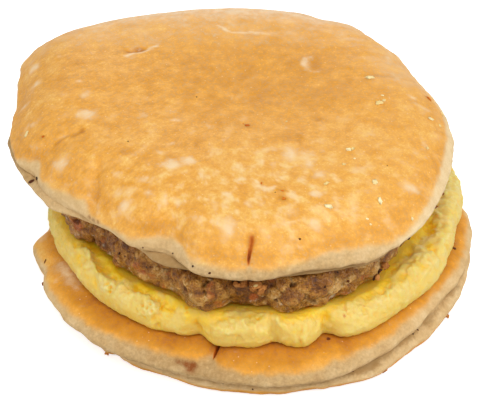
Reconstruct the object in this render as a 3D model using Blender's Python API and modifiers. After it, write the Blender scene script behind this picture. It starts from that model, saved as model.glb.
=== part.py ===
"""Breakfast sandwich: an egg round and a fried sausage patty between two griddle pancakes.

Frame: metres, +Z up, -Y is the front. The lower pancake's flat base lies on Z = 0 and
the origin is the middle of that base. Each layer is a turned half section whose rim is
then pushed in and out round the layer, because batter, egg and meat set unevenly.
"""

import bpy
import bmesh
import numpy as np
from math import cos, pi, radians, sin
from mathutils import Vector, noise

MM = 0.001

# Driving sizes
PANCAKE_RADIUS = 50 * MM
EGG_RADIUS = 47.2 * MM
PATTY_RADIUS = 41.8 * MM
LOWER_PANCAKE_THICKNESS = 9.9 * MM
EGG_THICKNESS = 6.2 * MM
PATTY_THICKNESS = 8.9 * MM
LAYER_GAP = 0.35 * MM

# Where each layer's middle lies in plan
LOWER_PANCAKE_MIDDLE = (0.0, 0.0)
EGG_MIDDLE = (1.2 * MM, 2.0 * MM)
PATTY_MIDDLE = (-3.0 * MM, 0.0)
UPPER_PANCAKE_MIDDLE = (-5.0 * MM, 5.5 * MM)

# Heights of the faces on which the layers rest
EGG_BASE = LOWER_PANCAKE_THICKNESS + LAYER_GAP
PATTY_BASE = EGG_BASE + EGG_THICKNESS + LAYER_GAP
UPPER_PANCAKE_BASE = PATTY_BASE + PATTY_THICKNESS + LAYER_GAP

# Steps round each turned layer
PANCAKE_STEPS = 84
FILLING_STEPS = 120

# Half sections from the middle of the top to the edge of the base. Each point is the
# inset from the rim and the height over the layer's own base, in millimetres.
LOWER_PANCAKE_SECTION = [
    (50, 9.6), (30, 9.8), (19, 9.9), (13, 9.8), (8.5, 9.4), (5.5, 8.8), (3.4, 8.1),
    (1.9, 7.3), (0.7, 6.5), (0, 5.6), (0.3, 4.6), (1.2, 3.8), (0.5, 3.0), (0, 2.1),
    (0.3, 1.1), (1.1, 0.3), (2.4, 0),
]
EGG_SECTION = [
    (47.2, 6.2), (30, 6.2), (13, 6.2), (8.5, 5.6), (5.5, 6.2), (3.4, 6.7), (1.8, 6.4),
    (0.7, 5.4), (0.2, 4.2), (0, 2.9), (0.3, 1.6), (1.2, 0.5), (2.6, 0), (5, 0), (8, 0),
    (11, 0), (15, 0),
]
PATTY_SECTION = [
    (41.8, 8.9), (24, 8.9), (6, 8.9), (3, 8.5), (1.2, 7.5), (0.4, 6.2), (0, 4.8),
    (0.1, 3.4), (0.6, 2.1), (1.5, 1.0), (3, 0.3), (5, 0),
]
UPPER_PANCAKE_SECTION = [
    (50, 11.7), (30, 12.1), (20, 12.2), (14, 11.9), (9.5, 11.0), (6.5, 9.7), (4.2, 8.2),
    (2.5, 6.6), (1.3, 5.2), (0.4, 4.2), (0, 3.3), (0.3, 2.5), (1.2, 1.9), (0.5, 1.4),
    (0, 0.9), (0.5, 0.3), (2, 0),
]

# Each pancake has two lips with a crease between them. The crease's height is over the
# pancake's own base. The lower lip stands this much further in than the upper one.
LOWER_CREASE = 3.8 * MM
UPPER_CREASE = 1.9 * MM
CREASE_HALF_WIDTH = 0.9 * MM
LOWER_LIP_INSET = 0.6 * MM

# Lobes and dents of each rim: (angle from +X, half width, push outwards), in degrees and
# millimetres. -90 is the front.
LOWER_PANCAKE_UPPER_LIP = [
    (-79, 20, 3.1), (-33, 18, -2.2), (-165, 4, -1.5), (-177, 6, 1.4), (165, 11, -4.6),
    (-135, 25, 1.0), (-101, 2.4, -0.8), (0, 18, 0.7), (58, 24, 1.2), (118, 20, -1.2),
]
LOWER_PANCAKE_LOWER_LIP = [
    (-62, 12, 2.4), (-135, 30, -1.5), (-178, 7, 1.6), (165, 11, -4.4), (-30, 16, -0.4),
    (-6, 24, 1.0), (58, 24, 1.0), (118, 20, -1.0),
]
EGG_RIM = [
    (-106, 2.6, -1.8), (-85.5, 3.0, -1.6), (-71.5, 3.2, -2.4), (-60, 9, 0.9),
    (-80, 13, 1.1), (-97, 7, 0.3), (-114, 6, -0.6), (-152, 12, -0.6), (-12, 13, -1.6),
    (20, 15, 3.3), (178, 9, 1.4), (62, 10, -1.6), (92, 12, 1.2), (128, 8, -1.4),
    (150, 10, 0.9),
]
PATTY_RIM = [
    (-147, 9, -5.2), (-126, 12, -3.8), (-101, 6, 1.9), (-88.5, 6, -2.8), (-67, 14, 2.9),
    (-44, 14, 1.6), (-168, 9, -1.4), (10, 16, -1.2), (46, 12, 1.4), (85, 14, -1.0),
    (128, 14, 1.2),
]
UPPER_PANCAKE_UPPER_LIP = [
    (144, 20, 6.6), (-134, 27, -7.4), (-108, 7, -3.3), (-157, 6, -0.6), (-46, 24, 3.0),
    (-82, 8, 1.2), (22, 14, -2.4), (92, 30, -1.4), (-4, 12, 0.6),
]
UPPER_PANCAKE_LOWER_LIP = [
    (144, 20, 5.8), (-129, 30, -8.3), (-48, 24, 2.0), (22, 14, -2.4), (92, 30, -1.4),
    (-84, 14, -0.7), (-108, 6, 0.8), (180, 8, 1.0), (0, 14, 1.4),
]

# The patty is thicker at the back, so the upper pancake tilts: rise over run, measured
# from the patty's front edge
TILT = 0.02
# The upper pancake is also thicker at the back than at the front, by this share
UPPER_PANCAKE_SLOPE = 0.10

# Hollows and swells of the upper pancake's crust: (x, y, radius, rise), in millimetres
# from its middle. They fade out towards the rim.
CRUST_SWELLS = [(2, 2, 17, -0.5), (-26, 26, 9, -0.5), (-6, 36, 12, 0.4), (-38, 4, 8, 0.5)]
CRUST_FADE = 6 * MM
# Hollows and swells of the egg's open rim, in the same terms
EGG_SWELLS = [
    (-31, -25, 5, -1.7), (-18, -39, 3.5, -1.1), (38, -10, 5, -1.2), (-38, -20, 4, 0.7),
    (8, -44, 4, 0.6), (36, -26, 5, 0.7), (-42, 12, 4, -0.9), (12, 42, 5, -0.9),
]
# How far outside the patty the egg's relief reaches its full height
EGG_SWELL_FADE = 2.5 * MM
# How far the egg's rim may droop where it overhangs the lower pancake
EGG_SAG = 2.6 * MM

# Relief of the fillings: (size of a lump, height of a lump). The patty has finer lumps
# over the first ones, by these shares of their size and height.
EGG_RELIEF = (6.0 * MM, 1.2 * MM)
PATTY_RELIEF = (5.0 * MM, 1.9 * MM)
FINE_SIZE = 0.7
FINE_HEIGHT = 0.35
# The relief and the rim's lobes start this far in from the rim, and are full nearer it
EGG_RIM_WIDTH = (14 * MM, 5 * MM)
PATTY_RIM_WIDTH = (16 * MM, 3 * MM)
# Distances from a filling's flat face over which its relief grows, so that the faces
# that touch other layers stay smooth
EGG_RELIEF_FADE = (0.4 * MM, 2.5 * MM)
PATTY_RELIEF_FADE = (0.0, 1.5 * MM)

# Radial slits in the crusts: (angle, distance of the outer end, length, depth, width)
UPPER_PANCAKE_SLIT = (-85.0, 51 * MM, 8 * MM, 2.2 * MM, 0.9 * MM)
LOWER_PANCAKE_SLIT = (-100.5, 52 * MM, 7 * MM, 2.2 * MM, 1.0 * MM)
# Heights over the pancakes' own bases at which the slits' mouths lie
UPPER_SLIT_HEIGHT = 7.2 * MM
LOWER_SLIT_HEIGHT = 8.6 * MM
# A slit dips towards the rim as the crust does, and closes to this share at its bottom
SLIT_DIP = 22.0
SLIT_BOTTOM = 0.15

SHARP_ANGLE = 50.0
MERGE_DISTANCE = 0.01 * MM


def clear_scene():
    for old in list(bpy.data.objects):
        bpy.data.objects.remove(old, do_unlink=True)


def new_collection(name):
    collection = bpy.data.collections.new(name)
    bpy.context.scene.collection.children.link(collection)
    return collection


def food_material(name, colour, roughness):
    material = bpy.data.materials.new(name)
    material.use_nodes = True
    shader = material.node_tree.nodes["Principled BSDF"]
    shader.inputs["Base Color"].default_value = (*colour, 1)
    shader.inputs["Roughness"].default_value = roughness
    shader.inputs["Metallic"].default_value = 0
    return material


def smooth_step(value, start, end):
    """0 at start, 1 at end, with an even curve between; start may be the larger."""
    share = np.clip((value - start) / (end - start), 0, 1)
    return share * share * (3 - 2 * share)


def rim_push(angle, lobes):
    """Sum of a rim's lobes at an angle in radians, in metres."""
    push = np.zeros_like(angle)
    for at, half_width, out in lobes:
        away = (np.degrees(angle) - at + 180) % 360 - 180
        push += out * MM * np.exp(-((away / half_width) ** 2))
    return push


def swell_rise(x, y, swells):
    """Height that a layer's hollows and swells add at a point, measured from its middle."""
    rise = np.zeros_like(x)
    for at_x, at_y, across, high in swells:
        away = np.hypot(x - at_x * MM, y - at_y * MM) / (across * MM)
        rise += high * MM * np.exp(-(away**2))
    return rise


def tilt_rise(y):
    """How far the patty's top and all above it are raised, by distance to the back."""
    return TILT * (y + PATTY_RADIUS)


def lumps(x, y, z, size):
    """Smooth noise from about -1 to 1 at each point."""
    return np.array([noise.noise(Vector(point) / size) for point in zip(x, y, z)])


def turned_mesh(name, section, radius, steps):
    """A closed round body: the half section turned by a Screw modifier, its base filled."""
    points = [(radius - inset * MM, 0, height * MM) for inset, height in section]
    points[0] = (0, 0, points[0][2])
    line = bpy.data.meshes.new(name + "_section")
    line.from_pydata(points, [(i, i + 1) for i in range(len(points) - 1)], [])
    guide = bpy.data.objects.new(name + "_section", line)
    bpy.context.scene.collection.objects.link(guide)
    screw = guide.modifiers.new("Turn", "SCREW")
    screw.axis = "Z"
    screw.angle = 2 * pi
    screw.steps = screw.render_steps = steps
    screw.use_merge_vertices = True
    screw.merge_threshold = MERGE_DISTANCE
    turned = guide.evaluated_get(bpy.context.evaluated_depsgraph_get())
    mesh = bpy.data.meshes.new_from_object(turned)
    mesh.name = name
    bpy.data.objects.remove(guide)
    bpy.data.meshes.remove(line)

    body = bmesh.new()
    body.from_mesh(mesh)
    base_edge = [edge for edge in body.edges if edge.is_boundary]
    bmesh.ops.holes_fill(body, edges=base_edge)
    bmesh.ops.recalc_face_normals(body, faces=body.faces)
    body.to_mesh(mesh)
    body.free()
    return mesh


def points_of(mesh):
    """The mesh's points as arrays: angle, radius and height."""
    flat = np.empty(len(mesh.vertices) * 3)
    mesh.vertices.foreach_get("co", flat)
    x, y, z = flat.reshape(-1, 3).T
    return np.arctan2(y, x), np.hypot(x, y), z


def place_points(mesh, x, y, height, middle, base):
    flat = np.stack([middle[0] + x, middle[1] + y, base + height], axis=1)
    mesh.vertices.foreach_set("co", flat.ravel())
    mesh.update()


def pancake_rim(angle, height, crease, upper_lobes, lower_lobes):
    """A pancake's rim: the lower lip's outline below the crease and the upper one's above."""
    upper = PANCAKE_RADIUS + rim_push(angle, upper_lobes)
    lower = PANCAKE_RADIUS + rim_push(angle, lower_lobes) - LOWER_LIP_INSET
    share = smooth_step(height, crease - CREASE_HALF_WIDTH, crease + CREASE_HALF_WIDTH)
    return lower + (upper - lower) * share


def lower_pancake_mesh():
    mesh = turned_mesh("pancake_lower", LOWER_PANCAKE_SECTION, PANCAKE_RADIUS, PANCAKE_STEPS)
    angle, radius, height = points_of(mesh)
    rim = pancake_rim(
        angle, height, LOWER_CREASE, LOWER_PANCAKE_UPPER_LIP, LOWER_PANCAKE_LOWER_LIP
    )
    radius = radius * rim / PANCAKE_RADIUS
    x, y = radius * np.cos(angle), radius * np.sin(angle)
    place_points(mesh, x, y, height, LOWER_PANCAKE_MIDDLE, 0)
    return mesh


def upper_pancake_mesh():
    """The upper pancake tilts with the patty under it and is thicker at the back."""
    mesh = turned_mesh("pancake_upper", UPPER_PANCAKE_SECTION, PANCAKE_RADIUS, PANCAKE_STEPS)
    angle, radius, height = points_of(mesh)
    rim = pancake_rim(
        angle, height, UPPER_CREASE, UPPER_PANCAKE_UPPER_LIP, UPPER_PANCAKE_LOWER_LIP
    )
    on_crust = smooth_step(radius, PANCAKE_RADIUS, PANCAKE_RADIUS - CRUST_FADE)
    on_crust = on_crust * smooth_step(height, UPPER_CREASE, 2 * UPPER_CREASE)
    radius = radius * rim / PANCAKE_RADIUS
    x, y = radius * np.cos(angle), radius * np.sin(angle)
    height = height * (1 + UPPER_PANCAKE_SLOPE * y / PANCAKE_RADIUS)
    height = height + swell_rise(x, y, CRUST_SWELLS) * on_crust
    height = height + tilt_rise(UPPER_PANCAKE_MIDDLE[1] + y)
    place_points(mesh, x, y, height, UPPER_PANCAKE_MIDDLE, UPPER_PANCAKE_BASE)
    return mesh


def lower_crust_height(x, y):
    """Height of the lower pancake's crust over a point in plan, out to its upper lip."""
    lip = min(LOWER_PANCAKE_SECTION, key=lambda point: (point[0], -point[1]))
    crust = LOWER_PANCAKE_SECTION[: LOWER_PANCAKE_SECTION.index(lip) + 1]
    radii = [PANCAKE_RADIUS - inset * MM for inset, _ in crust]
    heights = [height * MM for _, height in crust]
    rim = PANCAKE_RADIUS + rim_push(np.arctan2(y, x), LOWER_PANCAKE_UPPER_LIP)
    return np.interp(np.hypot(x, y) * PANCAKE_RADIUS / rim, radii, heights)


def clear_of_patty(x, y):
    """0 under the patty, rising to 1 just outside it, at points from the egg's middle."""
    x = x + EGG_MIDDLE[0] - PATTY_MIDDLE[0]
    y = y + EGG_MIDDLE[1] - PATTY_MIDDLE[1]
    rim = PATTY_RADIUS + rim_push(np.arctan2(y, x), PATTY_RIM)
    return smooth_step(np.hypot(x, y), rim, rim + EGG_SWELL_FADE)


def egg_mesh():
    """The egg is folded and lumpy outside the patty, and its rim droops with the crust."""
    mesh = turned_mesh("egg_round", EGG_SECTION, EGG_RADIUS, FILLING_STEPS)
    angle, radius, height = points_of(mesh)
    start, full = EGG_RIM_WIDTH
    near_rim = smooth_step(radius, EGG_RADIUS - start, EGG_RADIUS - full)
    radius = radius * (1 + rim_push(angle, EGG_RIM) * near_rim / EGG_RADIUS)
    x, y = radius * np.cos(angle), radius * np.sin(angle)
    size, rise = EGG_RELIEF
    raised = smooth_step(height, *EGG_RELIEF_FADE)
    lump = rise * lumps(x, y, height, size) * raised
    swell = swell_rise(x, y, EGG_SWELLS) * raised
    height = height + (lump + swell) * clear_of_patty(x, y)
    radius = radius + lump * near_rim
    x, y = radius * np.cos(angle), radius * np.sin(angle)
    crust = lower_crust_height(EGG_MIDDLE[0] + x, EGG_MIDDLE[1] + y)
    droop = np.maximum(crust - LOWER_PANCAKE_THICKNESS, -EGG_SAG)
    height = height + droop * near_rim
    place_points(mesh, x, y, height, EGG_MIDDLE, EGG_BASE)
    return mesh


def patty_mesh():
    """The patty is smooth where it is pressed, and its side is craggy minced meat."""
    mesh = turned_mesh("sausage_patty", PATTY_SECTION, PATTY_RADIUS, FILLING_STEPS)
    angle, radius, height = points_of(mesh)
    start, full = PATTY_RIM_WIDTH
    near_rim = smooth_step(radius, PATTY_RADIUS - start, PATTY_RADIUS - full)
    radius = radius * (1 + rim_push(angle, PATTY_RIM) * near_rim / PATTY_RADIUS)
    x, y = radius * np.cos(angle), radius * np.sin(angle)
    size, rise = PATTY_RELIEF
    crags = lumps(x, y, height, size) + FINE_HEIGHT * lumps(y, x, height, FINE_SIZE * size)
    side = smooth_step(height, *PATTY_RELIEF_FADE)
    side = side * smooth_step(PATTY_THICKNESS - height, *PATTY_RELIEF_FADE)
    radius = radius + rise * crags * near_rim * side
    x, y = radius * np.cos(angle), radius * np.sin(angle)
    height = height + tilt_rise(PATTY_MIDDLE[1] + y) * height / PATTY_THICKNESS
    place_points(mesh, x, y, height, PATTY_MIDDLE, PATTY_BASE)
    return mesh


def add_layer(mesh, collection, material):
    layer = bpy.data.objects.new(mesh.name, mesh)
    collection.objects.link(layer)
    mesh.materials.append(material)
    mesh.shade_smooth()
    mesh.set_sharp_from_angle(angle=radians(SHARP_ANGLE))
    return layer


def cut_slit(layer, middle, mouth_height, slit, cutters):
    """A radial slit: a cube that narrows downwards, taken out of the crust near the rim."""
    angle, outer_end, length, depth, width = slit
    bpy.ops.mesh.primitive_cube_add(size=1)
    cutter = bpy.context.object
    cutter.name = layer.name + "_slit"
    wedge = bmesh.new()
    wedge.from_mesh(cutter.data)
    for corner in wedge.verts:
        opening = width if corner.co.z > 0 else width * SLIT_BOTTOM
        corner.co = (corner.co.x * length, corner.co.y * opening, corner.co.z * 2 * depth)
    wedge.to_mesh(cutter.data)
    wedge.free()
    turn = radians(angle)
    reach = outer_end - length / 2
    cutter.location = (
        middle[0] + reach * cos(turn), middle[1] + reach * sin(turn), mouth_height
    )
    cutter.rotation_euler = (0, radians(SLIT_DIP), turn)
    for owner in list(cutter.users_collection):
        owner.objects.unlink(cutter)
    cutters.objects.link(cutter)
    cutter.hide_render = True
    cutter.display_type = "WIRE"
    cut = layer.modifiers.new("Slit", "BOOLEAN")
    cut.operation = "DIFFERENCE"
    cut.solver = "EXACT"
    cut.object = cutter


def build():
    clear_scene()
    layers = new_collection("breakfast_sandwich")
    cutters = new_collection("cutters")
    crust = food_material("griddled_crust", (0.74, 0.40, 0.13), 0.55)
    egg = food_material("set_egg", (0.87, 0.67, 0.17), 0.45)
    sausage = food_material("fried_sausage", (0.29, 0.17, 0.09), 0.40)

    lower = add_layer(lower_pancake_mesh(), layers, crust)
    add_layer(egg_mesh(), layers, egg)
    add_layer(patty_mesh(), layers, sausage)
    upper = add_layer(upper_pancake_mesh(), layers, crust)

    cut_slit(lower, LOWER_PANCAKE_MIDDLE, LOWER_SLIT_HEIGHT, LOWER_PANCAKE_SLIT, cutters)
    upper_mouth = UPPER_PANCAKE_BASE + UPPER_SLIT_HEIGHT
    cut_slit(upper, UPPER_PANCAKE_MIDDLE, upper_mouth, UPPER_PANCAKE_SLIT, cutters)


build()
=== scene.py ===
"""Breakfast sandwich: the looks of the four layers, a few crumbs, the light and the camera.

Lengths are in millimetres until a surface is put into a mesh. Each layer is a closed grid of
rings round the Z axis: the half section of the CAD layer turned, its rim pushed in and out
by the same lobes, and then folds, crags, grain and pits moved along the normals.
"""

from math import radians

import bpy
import numpy as np
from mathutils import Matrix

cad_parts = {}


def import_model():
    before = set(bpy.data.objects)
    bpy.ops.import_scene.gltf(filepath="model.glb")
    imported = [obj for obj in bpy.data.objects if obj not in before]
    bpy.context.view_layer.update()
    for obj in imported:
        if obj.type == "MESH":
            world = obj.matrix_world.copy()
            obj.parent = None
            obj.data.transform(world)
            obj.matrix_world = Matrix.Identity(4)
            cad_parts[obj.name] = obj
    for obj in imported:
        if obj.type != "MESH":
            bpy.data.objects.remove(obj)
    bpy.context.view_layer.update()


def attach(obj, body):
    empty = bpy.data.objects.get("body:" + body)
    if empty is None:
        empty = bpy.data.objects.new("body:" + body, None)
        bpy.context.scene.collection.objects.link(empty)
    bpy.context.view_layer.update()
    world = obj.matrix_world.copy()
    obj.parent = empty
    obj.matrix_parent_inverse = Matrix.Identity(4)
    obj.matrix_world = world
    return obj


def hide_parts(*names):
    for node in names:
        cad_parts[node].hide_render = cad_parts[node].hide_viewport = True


MM = 0.001

# Form of the layers, as in the CAD source. A section holds (inset from the rim, height), a
# rim's lobes are (angle, half width, out), and swells are (x, y, radius, height).
PANCAKE_RADIUS = 50.0
EGG_RADIUS = 47.2
PATTY_RADIUS = 41.8
LOWER_PANCAKE_THICKNESS = 9.9
EGG_THICKNESS = 6.2
PATTY_THICKNESS = 8.9
LAYER_GAP = 0.35
EGG_MIDDLE = (1.2, 2.0)
PATTY_MIDDLE = (-3.0, 0.0)
UPPER_PANCAKE_MIDDLE = (-5.0, 5.5)
EGG_BASE = LOWER_PANCAKE_THICKNESS + LAYER_GAP
PATTY_BASE = EGG_BASE + EGG_THICKNESS + LAYER_GAP
UPPER_PANCAKE_BASE = PATTY_BASE + PATTY_THICKNESS + LAYER_GAP
LOWER_PANCAKE_SECTION = [
    (50, 9.6), (30, 9.8), (19, 9.9), (13, 9.8), (8.5, 9.4), (5.5, 8.8), (3.4, 8.1), (1.9, 7.3),
    (0.7, 6.5), (0, 5.6), (0.3, 4.6), (1.2, 3.8), (0.5, 3.0), (0, 2.1), (0.3, 1.1), (1.1, 0.3), (2.4, 0),
    (50, 0),
]
EGG_SECTION = [
    (47.2, 6.2), (30, 6.2), (13, 6.2), (8.5, 5.6), (5.5, 6.2), (3.4, 6.7), (1.8, 6.4), (0.7, 5.4),
    (0.2, 4.2), (0, 2.9), (0.3, 1.6), (1.2, 0.5), (2.6, 0), (5, 0), (8, 0), (11, 0), (15, 0), (47.2, 0),
]
PATTY_SECTION = [
    (41.8, 8.9), (24, 8.9), (6, 8.9), (3, 8.5), (1.2, 7.5), (0.4, 6.2), (0, 4.8), (0.1, 3.4), (0.6, 2.1),
    (1.5, 1.0), (3, 0.3), (5, 0), (41.8, 0),
]
UPPER_PANCAKE_SECTION = [
    (50, 11.7), (30, 12.1), (20, 12.2), (14, 11.9), (9.5, 11.0), (6.5, 9.7), (4.2, 8.2), (2.5, 6.6),
    (1.3, 5.2), (0.4, 4.2), (0, 3.3), (0.3, 2.5), (1.2, 1.9), (0.5, 1.4), (0, 0.9), (0.5, 0.3), (2, 0),
    (50, 0),
]
LOWER_CREASE = 3.8
UPPER_CREASE = 1.9
CREASE_HALF_WIDTH = 0.9
LOWER_LIP_INSET = 0.6
LOWER_PANCAKE_UPPER_LIP = [
    (-79, 20, 3.1), (-33, 18, -2.2), (-165, 4, -1.5), (-177, 6, 1.4), (165, 11, -4.6), (-135, 25, 1.0),
    (-101, 2.4, -0.8), (0, 18, 0.7), (58, 24, 1.2), (118, 20, -1.2),
]
LOWER_PANCAKE_LOWER_LIP = [
    (-62, 12, 2.4), (-135, 30, -1.5), (-178, 7, 1.6), (165, 11, -4.4), (-30, 16, -0.4), (-6, 24, 1.0),
    (58, 24, 1.0), (118, 20, -1.0),
]
EGG_RIM = [
    (-106, 2.6, -1.8), (-85.5, 3.0, -1.6), (-71.5, 3.2, -2.4), (-60, 9, 0.9), (-80, 13, 1.1),
    (-97, 7, 0.3), (-114, 6, -0.6), (-152, 12, -0.6), (-12, 13, -1.6), (20, 15, 3.3), (178, 9, 1.4),
    (62, 10, -1.6), (92, 12, 1.2), (128, 8, -1.4), (150, 10, 0.9),
]
PATTY_RIM = [
    (-147, 9, -5.2), (-126, 12, -3.8), (-101, 6, 1.9), (-88.5, 6, -2.8), (-67, 14, 2.9), (-44, 14, 1.6),
    (-168, 9, -1.4), (10, 16, -1.2), (46, 12, 1.4), (85, 14, -1.0), (128, 14, 1.2),
]
UPPER_PANCAKE_UPPER_LIP = [
    (144, 20, 6.6), (-134, 27, -7.4), (-108, 7, -3.3), (-157, 6, -0.6), (-46, 24, 3.0), (-82, 8, 1.2),
    (22, 14, -2.4), (92, 30, -1.4), (-4, 12, 0.6),
]
UPPER_PANCAKE_LOWER_LIP = [
    (144, 20, 5.8), (-129, 30, -8.3), (-48, 24, 2.0), (22, 14, -2.4), (92, 30, -1.4), (-84, 14, -0.7),
    (-108, 6, 0.8), (180, 8, 1.0), (0, 14, 1.4),
]
TILT = 0.02
UPPER_PANCAKE_SLOPE = 0.10
CRUST_SWELLS = [(2, 2, 17, -0.5), (-26, 26, 9, -0.5), (-6, 36, 12, 0.4), (-38, 4, 8, 0.5)]
CRUST_FADE = 6.0
EGG_SWELLS = [
    (-31, -25, 5, -1.7), (-18, -39, 3.5, -1.1), (38, -10, 5, -1.2), (-38, -20, 4, 0.7), (8, -44, 4, 0.6),
    (36, -26, 5, 0.7), (-42, 12, 4, -0.9), (12, 42, 5, -0.9),
]
EGG_SWELL_FADE = 2.5
EGG_SAG = 2.6
EGG_RIM_WIDTH = (14.0, 5.0)
PATTY_RIM_WIDTH = (16.0, 3.0)
UPPER_SLIT_ANGLE = -85.0
LOWER_SLIT_ANGLE = -100.5

# Finer lobes of the rims than the solids have
UPPER_PANCAKE_UPPER_LIP_FINER = [
    (143, 9, 1.3), (166, 9, -0.9), (60, 18, 0.9), (68, 3, 0.4), (61, 3, -0.5), (52, 5, 0.9), (24, 9, 1.2),
    (13, 7, 0.8), (-161, 3.5, -1.3), (-164, 2.5, -0.7), (-99, 3, 0.4), (-112, 3, 0.4), (-89, 10, 0.7),
    (129, 10, 0.8), (118, 9, 0.6), (38, 9, 0.6),
]
UPPER_PANCAKE_LOWER_LIP_FINER = [
    (143, 10, 1.0), (-148, 7, 1.6), (-162, 6, 0.2), (60, 18, 0.8), (24, 9, 1.2), (-110, 7, 0.7),
]
LOWER_PANCAKE_UPPER_LIP_FINER = [(8, 6, 0.7), (178, 4, -1.7), (-174, 4, -0.3), (-36, 7, 0.5)]
LOWER_PANCAKE_LOWER_LIP_FINER = [
    (-36, 6, 0.9), (-57, 13, 0.6), (-68, 7, -0.7), (-86, 16, 0.9), (-150, 10, -0.6), (-165, 6, -1.3),
    (8, 6, 0.5), (-128.5, 1.2, -0.9), (-131.5, 1.5, 0.6), (-143, 4, -0.6), (-112, 5, -0.5),
]
PATTY_RIM_FINER = [
    (-138, 6, -1.5), (-33, 9, -1.2), (-113, 8, -2.5), (-81, 2.6, -0.9), (-75.5, 2.4, 0.9), (-60, 7, -0.9),
]
EGG_RIM_FINER = [
    (16, 8, -1.2), (176, 6, -0.4), (-119, 2.5, 0.5), (-99, 2.2, 0.4), (-78, 2.0, 0.4), (-40, 15, -1.0),
]

# Height over each pancake's base at which the griddled crust ends: (angle, height)
UPPER_CRUST_EDGE = [
    (-180, 3.2), (-170, 3.4), (-166, 4.8), (-162, 5.7), (-157, 4.2), (-152, 4.3), (-146, 5.0),
    (-139, 5.5), (-134, 3.7), (-125, 3.7), (-117, 4.3), (-107, 6.0), (-103, 5.8), (-100, 5.0), (-95, 4.9),
    (-91, 4.8), (-86, 4.9), (-85, 5.5), (-84, 4.9), (-75, 4.7), (-69, 5.2), (-64, 5.6), (-59, 5.5),
    (-54, 5.1), (-49, 4.4), (-43, 4.2), (-38, 4.6), (-28, 5.1), (-20, 5.6), (-12, 5.9), (-3, 5.8),
    (8, 4.8), (30, 4.4), (90, 4.2), (150, 4.0), (180, 3.2),
]
LOWER_CRUST_EDGE = [
    (-180, 6.4), (-164, 6.7), (-142, 7.1), (-126, 7.7), (-112, 7.8), (-104, 7.8), (-102, 8.0),
    (-100.5, 8.2), (-98.5, 7.6), (-90, 7.2), (-70, 7.6), (-52, 7.4), (-35, 7.2), (-17, 7.1), (40, 7.0),
    (90, 7.2), (140, 7.0), (180, 6.4),
]

# Noise is squeezed by this to run along a rim
ALONG_RIM = (0.3, 0.3, 1.0)
# How far noise shakes the places that masks are read at
WARP = 0.8


# Noise and masks, all on whole arrays


def lattice_values(cell, seed):
    """A well mixed whole number for each cell of a cubic lattice."""
    mixed = (cell[..., 0] * 73856093) ^ (cell[..., 1] * 19349663)
    mixed = (mixed ^ (cell[..., 2] * 83492791) ^ (seed * 9781231 + 12345)) & 0xFFFFFFFF
    for _ in range(2):
        mixed = ((mixed ^ (mixed >> 16)) * 73244475) & 0xFFFFFFFF
    return mixed ^ (mixed >> 16)


SLOPES = np.array([
    (1, 1, 0), (-1, 1, 0), (1, -1, 0), (-1, -1, 0), (1, 0, 1), (-1, 0, 1), (1, 0, -1),
    (-1, 0, -1), (0, 1, 1), (0, -1, 1), (0, 1, -1), (0, -1, -1), (1, 1, 0), (-1, 1, 0),
    (0, -1, 1), (0, -1, -1),
], dtype=float)


def lumps(points, size, seed=0):
    """Smooth noise from about -1 to 1: slopes picked at the corners of a cubic lattice, and
    their heights blended between the corners."""
    at = points / size
    low = np.floor(at)
    part = at - low
    low = low.astype(np.int64)
    even = part**3 * (part * (part * 6 - 15) + 10)
    total = np.zeros(points.shape[:-1])
    for corner in np.ndindex(2, 2, 2):
        corner = np.array(corner)
        slope = SLOPES[lattice_values(low + corner, seed) % len(SLOPES)]
        weight = np.prod(np.where(corner > 0, even, 1 - even), axis=-1)
        total += weight * np.sum(slope * (part - corner), axis=-1)
    return total


def rough(points, size, octaves, seed=0, gain=0.5):
    """Noise on noise: each finer layer has half the size and a share of the height."""
    total, height = 0.0, 1.0
    for octave in range(octaves):
        total = total + height * lumps(points, size / 2**octave, seed + 31 * octave)
        height *= gain
    return total


def warp(points, size, seed):
    """The points shaken by noise, so that masks read at them have ragged edges."""
    return points + WARP * np.stack([lumps(points, size, seed + axis) for axis in range(3)], -1)


def how_far(points, place):
    """Distance of each point from a place, or from its own place in an array."""
    return np.linalg.norm(points - np.array(place), axis=-1)


def cells(points, size, seed=0):
    """Scattered middles, one in each cell of a lattice: the distances to the nearest and to
    the second nearest, in sizes, and a value from 0 to 1 that the nearest one carries."""
    at = points / size
    low = np.floor(at).astype(np.int64)
    first = np.full(points.shape[:-1], 9.0)
    second = first.copy()
    value = np.zeros_like(first)
    for step in np.ndindex(3, 3, 3):
        cell = low + np.array(step) - 1
        mixed = lattice_values(cell, seed)
        middle = cell + np.stack([mixed & 1023, mixed >> 10 & 1023, mixed >> 20 & 1023], -1) / 1023
        away = how_far(at, middle)
        closer = away < first
        second = np.where(closer, first, np.minimum(second, away))
        value = np.where(closer, (mixed >> 5) % 991 / 990, value)
        first = np.minimum(first, away)
    return first, second, value


def ease(value, start, end):
    """0 at start, 1 at end, with an even curve between; start may be the larger."""
    share = np.clip((value - start) / (end - start), 0, 1)
    return share * share * (3 - 2 * share)


def bell(away, width):
    """1 at 0 and falling off alike on both sides."""
    return np.exp(-((away / width) ** 2))


def blot(x, y, at_x, at_y, across, deep, turn=0.0):
    """A soft oval spot in plan, 1 in its middle."""
    c, s = np.cos(radians(turn)), np.sin(radians(turn))
    u = ((x - at_x) * c + (y - at_y) * s) / across
    v = ((y - at_y) * c - (x - at_x) * s) / deep
    return np.exp(-(u * u + v * v))


def blots(x, y, rows):
    """The strongest of soft oval spots."""
    most = np.zeros_like(x)
    for at_x, at_y, across, deep, strength, *turn in rows:
        most = np.maximum(most, strength * blot(x, y, at_x, at_y, across, deep, *turn))
    return most


def near_points(points, rows, outer=1.35, inner=0.55):
    """Round dots, 1 within the inner share of their radius and 0 past the outer."""
    most = np.zeros(points.shape[:-1])
    for *place, radius in rows:
        most = np.maximum(most, ease(how_far(points, place), radius * outer, radius * inner))
    return most


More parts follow.
